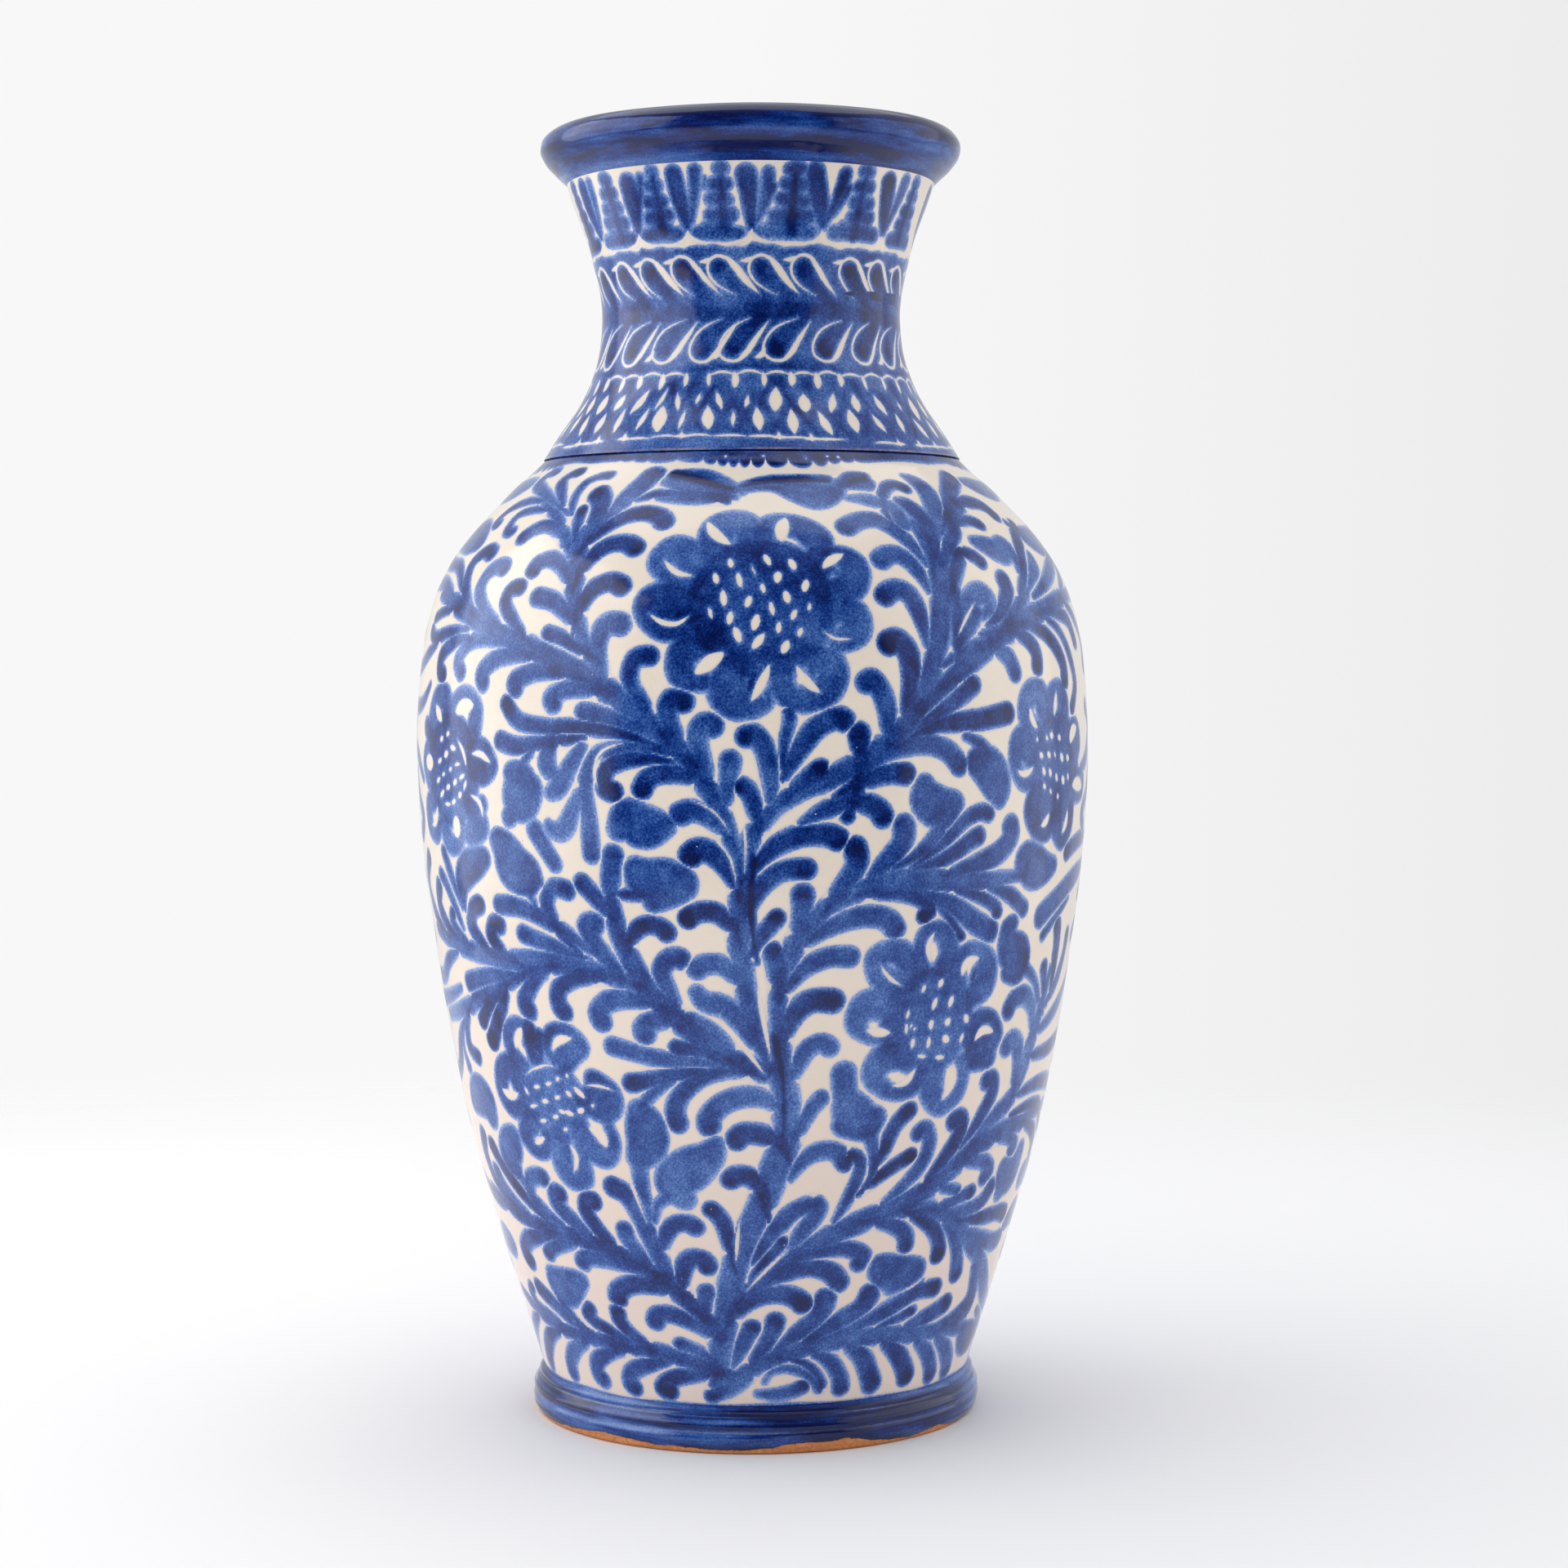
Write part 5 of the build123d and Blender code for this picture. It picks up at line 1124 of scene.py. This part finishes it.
# pigment strength to colour: a thin wash, the usual blue, and where the brush has pooled
BLUES = [(0.0, (178, 192, 222)), (0.14, (138, 160, 211)), (0.32, (95, 129, 193)), (0.5, (56, 95, 165)), (0.68, (23, 63, 139)), (0.84, (2, 38, 111)), (1.0, (0, 17, 74))]
IVORY = (237, 224, 209)


def glaze_bump(g, pits=None):
    """Height, in units of the relief: a slightly rippled skin with pinholes."""
    skin = g.math("MULTIPLY", g.noise(210, 2, 0.5), 0.5)
    fine = g.math("MULTIPLY", g.noise(620, 2, 0.5, shift=(3, 1, 2)), 0.10)
    h = g.math("ADD", skin, fine)
    if pits is not None:
        h = g.math("SUBTRACT", h, g.math("MULTIPLY", pits, 0.6))
    return h


def painted_material(name):
    g = Nodes(name)
    sdf, tone = g.attribute("sdf"), g.attribute("tone")
    # ragged, slightly bled edge of the brushwork
    ragged = g.math("ADD", g.math("MULTIPLY", g.math("SUBTRACT", g.noise(900, 3, 0.6), 0.5), 0.46), g.math("MULTIPLY", g.math("SUBTRACT", g.noise(2600, 1, 0.5, shift=(5, 0, 0)), 0.5), 0.24))
    s = g.math("ADD", sdf, ragged)
    cover = g.ease(s, 0.24, -0.16)
    halo = g.math("MULTIPLY", g.ease(s, 0.9, 0.1), 0.20)
    # pigment: soft at the rim of each touch, mottled as it melted into the white
    rim = g.ease(sdf, 0.1, -1.2, 0.62, 1.0)
    slow = g.noise(38, 3, 0.55, shift=(2, 7, 1))
    mid = g.noise(150, 3, 0.55, shift=(9, 3, 4))
    grain = g.noise(1500, 3, 0.62, shift=(1, 4, 8))
    p = g.math("MULTIPLY", tone, rim)
    p = g.math("MULTIPLY", p, g.ease(slow, 0.28, 0.72, 0.78, 1.24, False))
    p = g.math("MULTIPLY", p, g.ease(mid, 0.3, 0.7, 0.80, 1.20, False))
    p = g.math("MULTIPLY", p, 0.78)
    p = g.math("ADD", p, g.math("MULTIPLY", g.math("SUBTRACT", grain, 0.5), 0.95))
    p = g.math("MAXIMUM", p, 0.02)
    blue = g.ramp(p, BLUES)
    violet = g.math("MULTIPLY", g.ease(g.noise(60, 3, 0.6, shift=(6, 6, 1)), 0.63, 0.75), g.math("MULTIPLY", g.ease(p, 0.4, 0.8), 0.42))
    blue = g.mix(violet, blue, (48, 34, 80))
    # the white: warm, a little pinker and darker towards the foot, faintly clouded and speckled
    height = g.node("ShaderNodeSeparateXYZ", {"Vector": g.where}).outputs[2]
    low = g.ease(height, 0.22, 0.03, 0.0, 1.0)
    white = g.mix(low, IVORY, (230, 211, 199))
    cloud = g.ease(g.noise(60, 4, 0.6, shift=(4, 4, 4)), 0.35, 0.7, 0.0, 0.28)
    white = g.mix(cloud, white, (228, 214, 198))
    salt = g.ease(g.noise(1900, 2, 0.5, shift=(8, 2, 6)), 0.55, 0.8, 0.0, 0.20)
    white = g.mix(salt, white, (206, 186, 166))
    white = g.mix(halo, white, (118, 136, 182))
    colour = g.mix(cover, white, blue)
    # pinholes: white ones in the blue, a few brown ones in the white
    pin = g.dots(330, 0.075, 0.16, shift=(1, 2, 3))
    pin = g.math("MULTIPLY", pin, g.ease(g.noise(30, 2, 0.5, shift=(7, 7, 3)), 0.42, 0.62))
    colour = g.mix(g.math("MULTIPLY", pin, 0.75), colour, (222, 226, 236))
    iron = g.dots(120, 0.040, 0.07, shift=(4, 1, 7))
    colour = g.mix(g.math("MULTIPLY", iron, 0.85), colour, (122, 74, 48))
    thin = g.attribute("thin")
    colour = g.mix(thin, colour, g.mix(g.ease(g.noise(420, 3, 0.6), 0.35, 0.7), (150, 118, 100), (196, 180, 168)))
    rough = g.ease(g.noise(95, 3, 0.6, shift=(5, 5, 5)), 0.3, 0.7, 0.085, 0.15, False)
    rough = g.math("ADD", rough, g.math("MULTIPLY", cover, 0.02))
    return g.finish(colour, rough, glaze_bump(g, g.math("MAXIMUM", pin, iron)), 0.00009)


def cobalt_material(name):
    """The lip and the foot: one strong blue, brushed on while the pot turned."""
    g = Nodes(name)
    tone = g.attribute("tone")
    streak = g.noise(26, 4, 0.6, stretch=(1, 1, 9), shift=(3, 2, 1), distort=0.4)
    streak2 = g.noise(70, 3, 0.6, stretch=(1, 1, 7), shift=(1, 8, 3))
    blot = g.noise(34, 3, 0.55, shift=(7, 1, 5))
    grain = g.noise(1500, 3, 0.62, shift=(1, 4, 8))
    p = g.math("MULTIPLY", tone, g.ease(streak, 0.32, 0.68, 0.66, 1.34, False))
    p = g.math("MULTIPLY", p, g.ease(streak2, 0.32, 0.68, 0.80, 1.20, False))
    p = g.math("MULTIPLY", p, g.ease(blot, 0.3, 0.72, 0.82, 1.2, False))
    p = g.math("MULTIPLY", p, 0.70)
    p = g.math("ADD", p, g.math("MULTIPLY", g.math("SUBTRACT", grain, 0.5), 0.55))
    blue = g.ramp(g.math("MAXIMUM", p, 0.02), BLUES)
    violet = g.math("MULTIPLY", g.ease(g.noise(30, 3, 0.6, stretch=(1, 1, 3), shift=(6, 6, 1)), 0.50, 0.68), 0.45)
    blue = g.mix(violet, blue, (34, 26, 74))
    olive = g.math("MULTIPLY", g.ease(g.noise(44, 3, 0.6, stretch=(1, 1, 4), shift=(2, 9, 4)), 0.56, 0.72), 0.5)
    blue = g.mix(olive, blue, (36, 44, 60))
    thin = g.attribute("thin")
    blue = g.mix(g.math("MULTIPLY", thin, g.ease(g.noise(500, 3, 0.6, stretch=(1, 1, 3)), 0.3, 0.62, 0.35, 1.0)), blue, (138, 148, 164))
    pin = g.dots(260, 0.06, 0.10, shift=(1, 2, 3))
    blue = g.mix(g.math("MULTIPLY", pin, 0.55), blue, (190, 196, 212))
    pit = g.dots(110, 0.05, 0.10, shift=(8, 2, 3))
    blue = g.mix(g.math("MULTIPLY", pit, 0.8), blue, (18, 20, 46))
    # bare clay at the foot, where the glaze was wiped back; a dark line where it stops, and the blue darker towards the
    # bottom of the foot
    bare, low_darkening = g.attribute("bare"), g.attribute("low_darkening")
    edge = g.math("ADD", bare, g.math("ADD", g.math("MULTIPLY", g.math("SUBTRACT", g.noise(300, 3, 0.6), 0.5), 1.1), g.math("MULTIPLY", g.math("SUBTRACT", g.noise(1300, 2, 0.6), 0.5), 0.5)))
    clay_on = g.ease(edge, -0.16, 0.16)
    rimline = g.math("MULTIPLY", g.ease(edge, -0.9, -0.1), g.ease(g.noise(60, 2, 0.5, shift=(1, 1, 9)), 0.35, 0.6, 0.25, 1.0))
    dark = g.math("MAXIMUM", low_darkening, g.math("MULTIPLY", rimline, 0.85))
    blue = g.mix(dark, blue, (22, 30, 34))
    clay = clay_colour(g)
    colour = g.mix(clay_on, blue, clay)
    rough = g.ease(g.noise(95, 3, 0.6, shift=(5, 5, 5)), 0.3, 0.7, 0.09, 0.17, False)
    rough = g.mix_value(clay_on, rough, 0.82)
    h = glaze_bump(g, g.math("MAXIMUM", pin, pit))
    h = g.math("ADD", h, g.math("MULTIPLY", clay_on, g.math("SUBTRACT", g.math("MULTIPLY", g.noise(1500, 3, 0.6), 1.2), 1.6)))
    h = g.math("ADD", h, g.math("MULTIPLY", streak2, 0.5))
    return g.finish(colour, rough, h, 0.00011)


def mix_value(self, f, a, b):
    n = self.node("ShaderNodeMix", data_type="FLOAT", clamp_factor=True)
    for i, v in ((0, f), (2, a), (3, b)):
        self.put(n.inputs[i], v)
    return n.outputs[0]


Nodes.mix_value = mix_value


def clay_colour(g):
    fine = g.noise(900, 4, 0.65, shift=(2, 2, 2))
    slow = g.noise(40, 3, 0.5, shift=(9, 9, 2))
    c = g.ramp(fine, [(0.25, (168, 98, 52)), (0.5, (206, 134, 80)), (0.75, (226, 164, 112))])
    c = g.mix(g.ease(slow, 0.4, 0.7, 0.0, 0.5), c, (188, 112, 66))
    c = g.mix(g.dots(420, 0.10, 0.14, shift=(3, 3, 1)), c, (96, 60, 40))
    return g.mix(g.dots(300, 0.08, 0.10, shift=(3, 5, 1)), c, (232, 204, 172))


def clay_material(name):
    """Fired terracotta, sponged, with the turning lines of the foot."""
    g = Nodes(name)
    xyz = g.node("ShaderNodeSeparateXYZ", {"Vector": g.where}).outputs
    radius = g.math("SQRT", g.math("ADD", g.math("MULTIPLY", xyz[0], xyz[0]), g.math("MULTIPLY", xyz[1], xyz[1])))
    warp = g.math("MULTIPLY", g.noise(20, 2, 0.5), 0.0018)
    rings = g.math("SINE", g.math("MULTIPLY", g.math("ADD", radius, warp), 2 * math.pi / 0.0031))
    rings2 = g.math("SINE", g.math("MULTIPLY", g.math("ADD", radius, warp), 2 * math.pi / 0.0112))
    h = g.math("ADD", g.math("MULTIPLY", rings, 0.35), g.math("MULTIPLY", rings2, 0.6))
    h = g.math("ADD", h, g.math("MULTIPLY", g.noise(1100, 4, 0.65), 0.9))
    colour = clay_colour(g)
    colour = g.mix(g.ease(rings2, -1, 1, 0.0, 0.22), colour, (178, 104, 60))
    # a smear of glaze that ran under the foot
    smear = g.ease(g.noise(28, 3, 0.6, shift=(5, 1, 2)), 0.62, 0.70, 0.0, 0.85)
    colour = g.mix(smear, colour, (214, 196, 176))
    rough = g.mix_value(smear, g.ease(g.noise(200, 3, 0.6), 0.3, 0.7, 0.74, 0.9, False), 0.35)
    return g.finish(colour, rough, h, 0.00016)


def lining_material(name):
    g = Nodes(name)
    xyz = g.node("ShaderNodeSeparateXYZ", {"Vector": g.where}).outputs
    warp = g.math("MULTIPLY", g.noise(14, 2, 0.5), 0.004)
    rings = g.math("SINE", g.math("MULTIPLY", g.math("ADD", xyz[2], warp), 2 * math.pi / 0.0085))
    c = g.mix(g.ease(g.noise(48, 4, 0.6, shift=(4, 4, 4)), 0.35, 0.7), (230, 219, 203), (214, 199, 180))
    c = g.mix(g.ease(g.noise(1700, 2, 0.5), 0.55, 0.8, 0.0, 0.25), c, (190, 168, 146))
    c = g.mix(g.math("MULTIPLY", g.dots(140, 0.05, 0.12), 0.85), c, (120, 74, 50))
    # blue of the lip, run a little way down inside the mouth
    run = g.math("ADD", xyz[2], g.math("MULTIPLY", g.math("SUBTRACT", g.noise(60, 3, 0.6, shift=(2, 1, 1)), 0.5), 0.010))
    c = g.mix(g.ease(run, 0.3885, 0.3915), c, g.ramp(g.noise(120, 3, 0.6), [(0.3, (96, 120, 176)), (0.7, (40, 66, 134))]))
    rough = g.ease(g.noise(80, 3, 0.6), 0.3, 0.7, 0.10, 0.2, False)
    h = g.math("ADD", g.math("MULTIPLY", rings, 0.8), glaze_bump(g))
    return g.finish(c, rough, h, 0.00014)


painted = painted_material("painted_glaze")
cobalt = cobalt_material("cobalt_glaze")
clay = clay_material("clay")
inner = lining_material("inner_glaze")


def canvas_values(true, painter, spread):
    cv = Canvas(true.reshape(-1, 3), spread)
    painter(cv)
    s, t = cv.result()
    return s.reshape(true.shape[:2]), t.reshape(true.shape[:2])


# ---- the body's glaze, in eight parts ----
profile = np.concatenate([smooth_curve(BODY_OUT, 0.54 * FINE), [[65.9, 296.9], [65.2, 297.6], BODY_LEDGE]])
theta, true, p, nn = ring_grid(profile, 1200 // FINE, lambda t, z: wobble(t, z, 14.2, 298.0))
sdf, tone = canvas_values(true, paint_body, 0.24)
z = true[:, :, 2]
thin = np.clip((z - 297.75) / 0.25, 0, 1) * 0.0
deep = np.clip((z - 297.0) / 0.8, 0, 1)
tone = np.maximum(tone, deep * 1.3)
parts = 8
step = len(theta) // parts
for k in range(parts):
    cols = [(k * step + i) % len(theta) for i in range(step + 1)]
    shell(f"body_glaze_{k + 1}", p[:, cols], nn[:, cols], {"sdf": sdf[:, cols], "tone": tone[:, cols], "thin": thin[:, cols]}, painted, False, "body_glaze")

# ---- the neck's glaze, in two halves ----
profile = smooth_curve(NECK_OUT, 0.5 * FINE)
theta, true, p, nn = ring_grid(profile, 800 // FINE, lambda t, z: wobble(t, z, 298.25, 383.8, 0.9))
sdf, tone = canvas_values(true, paint_neck, 0.26)
z = true[:, :, 2]
thin = np.clip(1 - np.abs(z - 298.5) / 0.32, 0, 1) * (0.55 + 0.45 * np.sin(theta * 9 + 2 * np.sin(theta * 4))).clip(0, 1)
parts = 2
step = len(theta) // parts
for k in range(parts):
    cols = [(k * step + i) % len(theta) for i in range(step + 1)]
    shell(f"neck_glaze_{k + 1}", p[:, cols], nn[:, cols], {"sdf": sdf[:, cols], "tone": tone[:, cols], "thin": thin[:, cols]}, painted, False, "neck_glaze")

# ---- the lip's glaze ----
profile = smooth_curve(LIP_OUT, 0.45 * FINE)
m = len(profile)
theta, true, p, nn = ring_grid(
    profile, 720 // FINE,
    lambda t, z: (np.sin(np.linspace(0, math.pi, m)) ** 0.5)[:, None] * (0.22 * np.sin(2 * t + 1.1) + 0.10 * np.sin(3 * t + z / 5) + 0.06 * np.sin(7 * t + z / 3) + 0.05 * np.sin(z * 1.7 + t)),
)
across = np.linspace(0, 1, m)[:, None] + 0 * theta
deg = np.degrees(theta)[None, :] + 0 * across
tone = 1.20 + 0.16 * np.sin(across * 9 + theta * 0.9) + 0.12 * np.sin(theta * 3 + across * 4)
tone = tone + 0.35 * np.exp(-(((across - 0.60) / 0.10) ** 2)) - 0.42 * np.exp(-(((across - 0.06) / 0.07) ** 2))
# a paler streak where the brush ran dry, and darker patches under and over it: pooled pigment, except the wide flat
# patch at the front of the crown (2 degrees), which is a painted dark reflection
tone = tone - 0.34 * np.exp(-(((across - 0.33) / 0.05) ** 2)) * (0.55 + 0.45 * np.sin(theta * 2 + 2.1))
for at, wide, level, tall, much in ((12, 17, 0.21, 0.05, 0.65), (26, 6, 0.22, 0.04, 0.35), (-30, 9, 0.22, 0.03, 0.3), (2, 26, 0.56, 0.06, 0.4), (62, 12, 0.42, 0.08, 0.4), (140, 22, 0.25, 0.06, 0.5), (-120, 26, 0.4, 0.08, 0.45), (-165, 12, 0.22, 0.04, 0.4)):
    tone = tone + much * np.exp(-np.abs((deg - at) / wide) ** 3) * np.exp(-(((across - level) / tall) ** 2))
zero = np.zeros_like(tone)
low = zero - 3
shell("lip_glaze_coat", p, nn, {"tone": tone, "thin": zero, "bare": low, "low_darkening": zero}, cobalt, True, "lip_glaze", every=12)

# ---- the foot's glaze, wiped back unevenly at the bottom ----
profile = smooth_curve(FOOT_OUT, 0.3 * FINE)
m = len(profile)
theta, true, p, nn = ring_grid(profile, 800 // FINE, lambda t, z: np.clip((z - 0.3) / 2, 0, 1) * np.clip((14.2 - z) / 2, 0, 1) * (0.10 * np.sin(3 * t) + 0.07 * np.sin(5 * t + z) + 0.06 * np.sin(z * 3.1 + 1.5 * np.sin(t * 2))))
z = true[:, :, 2]
deg = np.degrees(theta)
# height of the wiped edge round the foot: (angle, height)
WIPED = [(-180, 1.4), (-165, 2.4), (-150, 1.6), (-132, 0.6), (-118, 1.2), (-100, 2.2), (-84, 1.3), (-70, 1.2), (-58, 1.5), (-48, 2.2), (-41, 3.2),
         (-36, 2.8), (-30, 2.3), (-25, 1.5), (-20, 2.1), (-14, 1.5), (-8, 1.2), (-2, 1.3), (4, 2.2), (8, 3.1), (13, 3.4), (18, 3.2), (23, 3.9), (27, 3.0),
         (31, 2.2), (36, 1.2), (42, 0.9), (48, 1.7), (53, 2.4), (57, 1.3), (64, 0.6), (76, 0.4), (90, 0.6), (106, 1.8), (120, 2.6), (134, 1.2), (148, 0.8), (162, 1.9), (180, 1.4)]
wiped = np.interp(deg, [a for a, _ in WIPED], [b for _, b in WIPED])[None, :] + 0 * z
bare = (wiped - z) / 1.0
# the blue darker towards the bottom of the foot: strongly at 36 degrees, a little all round, and at two places behind
low_darkening = np.exp(-(((deg - 36) / 9) ** 2))[None, :] * np.clip((3.4 - z) / 1.2, 0, 1) * 0.9
low_darkening = np.maximum(low_darkening, 0.55 * np.clip((3.6 - z) / 2.2, 0, 1) * (0.6 + 0.4 * np.sin(theta * 5 + 0.7))[None, :])
low_darkening = np.maximum(low_darkening, (np.exp(-(((deg + 150) / 14) ** 2)) + np.exp(-(((deg - 128) / 11) ** 2)))[None, :] * np.clip((3.0 - z) / 1.4, 0, 1) * 0.7)
groove = np.exp(-(((z - 11.3) / 0.22) ** 2)) * 0.70 + np.exp(-(((z - 6.6) / 0.3) ** 2)) * 0.45 + np.exp(-(((z - 9.5) / 0.2) ** 2)) * 0.25
breaks = 0.55 + 0.45 * np.sin(theta * 4 + 1.0)[None, :] * np.sin(theta * 7 + z * 0.3)
tone = 1.08 + 0.20 * np.sin(theta * 3 + 0.4)[None, :] + 0.16 * np.sin(z * 1.1 + 2 * np.sin(theta * 2))
tone = tone + 0.45 * np.exp(-(((z - 8.3) / 1.0) ** 2)) - 0.30 * np.exp(-(((z - 13.6) / 0.7) ** 2)) + 0.5 * np.exp(-(((z - 10.6) / 0.35) ** 2)) + 0.30 * np.exp(-(((z - 12.2) / 0.6) ** 2))
shell("foot_glaze_coat", p, nn, {"tone": tone, "thin": groove * breaks, "bare": bare, "low_darkening": low_darkening}, cobalt, True, "foot_glaze", every=8, depth=0.25)

for name, material in (("foot_ring", clay), ("body_wall", clay), ("neck_collar", clay), ("rolled_lip", clay), ("lining_glaze", inner)):
    mesh = nodes[name].data
    mesh.materials.clear()
    mesh.materials.append(material)

# ---- floor ----
bpy.ops.mesh.primitive_circle_add(vertices=256, radius=4.0, fill_type="NGON", location=(0, 0, 0))
floor = bpy.context.object
floor.name = "floor"
g = Nodes("floor")
xyz = g.node("ShaderNodeSeparateXYZ", {"Vector": g.where}).outputs
radius = g.math("SQRT", g.math("ADD", g.math("MULTIPLY", xyz[0], xyz[0]), g.math("MULTIPLY", xyz[1], xyz[1])))
# the floor's paper, painted slightly darker towards the right: painted shade
paper_with_painted_shade = g.mix(g.ease(xyz[0], -0.30, 0.12), (247, 245, 244), (240, 239, 240))
sheet = g.node("ShaderNodeBsdfDiffuse", {"Color": paper_with_painted_shade})
clear = g.node("ShaderNodeBsdfTransparent")
away = g.node("ShaderNodeMixShader", {"Fac": g.ease(radius, 0.33, 0.95)})
g.t.links.new(sheet.outputs[0], away.inputs[1])
g.t.links.new(clear.outputs[0], away.inputs[2])
g.t.links.new(away.outputs[0], g.out.inputs["Surface"])
floor.data.materials.append(g.m)

# ---- studio ----
world = bpy.data.worlds.new("studio")
bpy.context.scene.world = world
world.use_nodes = True
t = world.node_tree
t.nodes.clear()
out = t.nodes.new("ShaderNodeOutputWorld")
coord = t.nodes.new("ShaderNodeTexCoord")
axes = t.nodes.new("ShaderNodeSeparateXYZ")
t.links.new(coord.outputs["Generated"], axes.inputs[0])
seen = t.nodes.new("ShaderNodeMapRange")
seen.inputs[1].default_value, seen.inputs[2].default_value = -0.02, 0.26
seen.inputs[3].default_value, seen.inputs[4].default_value = 0.940, 0.832
t.links.new(axes.outputs[0], seen.inputs[0])
paper_bg = t.nodes.new("ShaderNodeBackground")
paper_bg.inputs["Color"].default_value = (1.0, 0.998, 1.0, 1)
t.links.new(seen.outputs[0], paper_bg.inputs["Strength"])
room = t.nodes.new("ShaderNodeBackground")
room.inputs["Color"].default_value = (0.97, 0.985, 1.0, 1)
# the room is dimmer on the camera's side than behind and above; it lights that side, but shines in the glaze less
ray = t.nodes.new("ShaderNodeLightPath")
near = t.nodes.new("ShaderNodeMapRange")
near.inputs[3].default_value, near.inputs[4].default_value = ROOM_FRONT, ROOM_GLOSS
t.links.new(ray.outputs["Is Glossy Ray"], near.inputs[0])
side = t.nodes.new("ShaderNodeMapRange")
side.interpolation_type = "SMOOTHSTEP"
side.inputs[1].default_value, side.inputs[2].default_value = -0.85, 0.35
side.inputs[4].default_value = ROOM_BACK
t.links.new(near.outputs[0], side.inputs[3])
t.links.new(axes.outputs[1], side.inputs[0])
t.links.new(side.outputs[0], room.inputs["Strength"])
pick = t.nodes.new("ShaderNodeMixShader")
t.links.new(ray.outputs["Is Camera Ray"], pick.inputs[0])
t.links.new(room.outputs[0], pick.inputs[1])
t.links.new(paper_bg.outputs[0], pick.inputs[2])
t.links.new(pick.outputs[0], out.inputs[0])


def softbox(name, at, aim, wide, tall, radiance, colour=(1, 1, 1)):
    light = bpy.data.lights.new(name, "AREA")
    light.shape, light.size, light.size_y = "RECTANGLE", wide, tall
    light.energy = radiance * math.pi * wide * tall
    light.color = colour
    o = bpy.data.objects.new(name, light)
    bpy.context.scene.collection.objects.link(o)
    o.location = at
    from mathutils import Vector
    o.rotation_euler = (Vector(aim) - Vector(at)).to_track_quat("-Z", "Y").to_euler()
    o.visible_camera = False
    return o
    return o


softbox("key_left", (-1.30, -0.30, 0.62), (0, -0.30, 0.30), 2.2, 1.7, KEY)
softbox("fill_right", (1.45, -0.22, 0.55), (0, -0.22, 0.30), 2.2, 1.6, FILL)
sheen = softbox("sheen_left", (-1.30, -0.25, 0.95), (0, -0.20, 0.30), 1.8, 1.0, 0.80)
sheen.visible_diffuse = False
softbox("overhead", (0.0, 0.35, 1.60), (0, 0, 0.2), 1.6, 1.4, TOP)

camera = bpy.data.cameras.new("camera")
camera.lens, camera.sensor_width = 75.0, 36.0
camera.clip_start, camera.clip_end = 0.05, 50
cam = bpy.data.objects.new("camera", camera)
bpy.context.scene.collection.objects.link(cam)
cam.location = (0.00985, -1.0303, 0.24418)
cam.rotation_mode = "XYZ"
cam.rotation_euler = (math.radians(90 - 2.65), math.radians(ROLL), 0)
bpy.context.scene.camera = cam

bpy.context.scene.view_settings.view_transform = "Standard"
bpy.context.scene.view_settings.look = "None"
bpy.context.scene.view_settings.exposure = 0.0
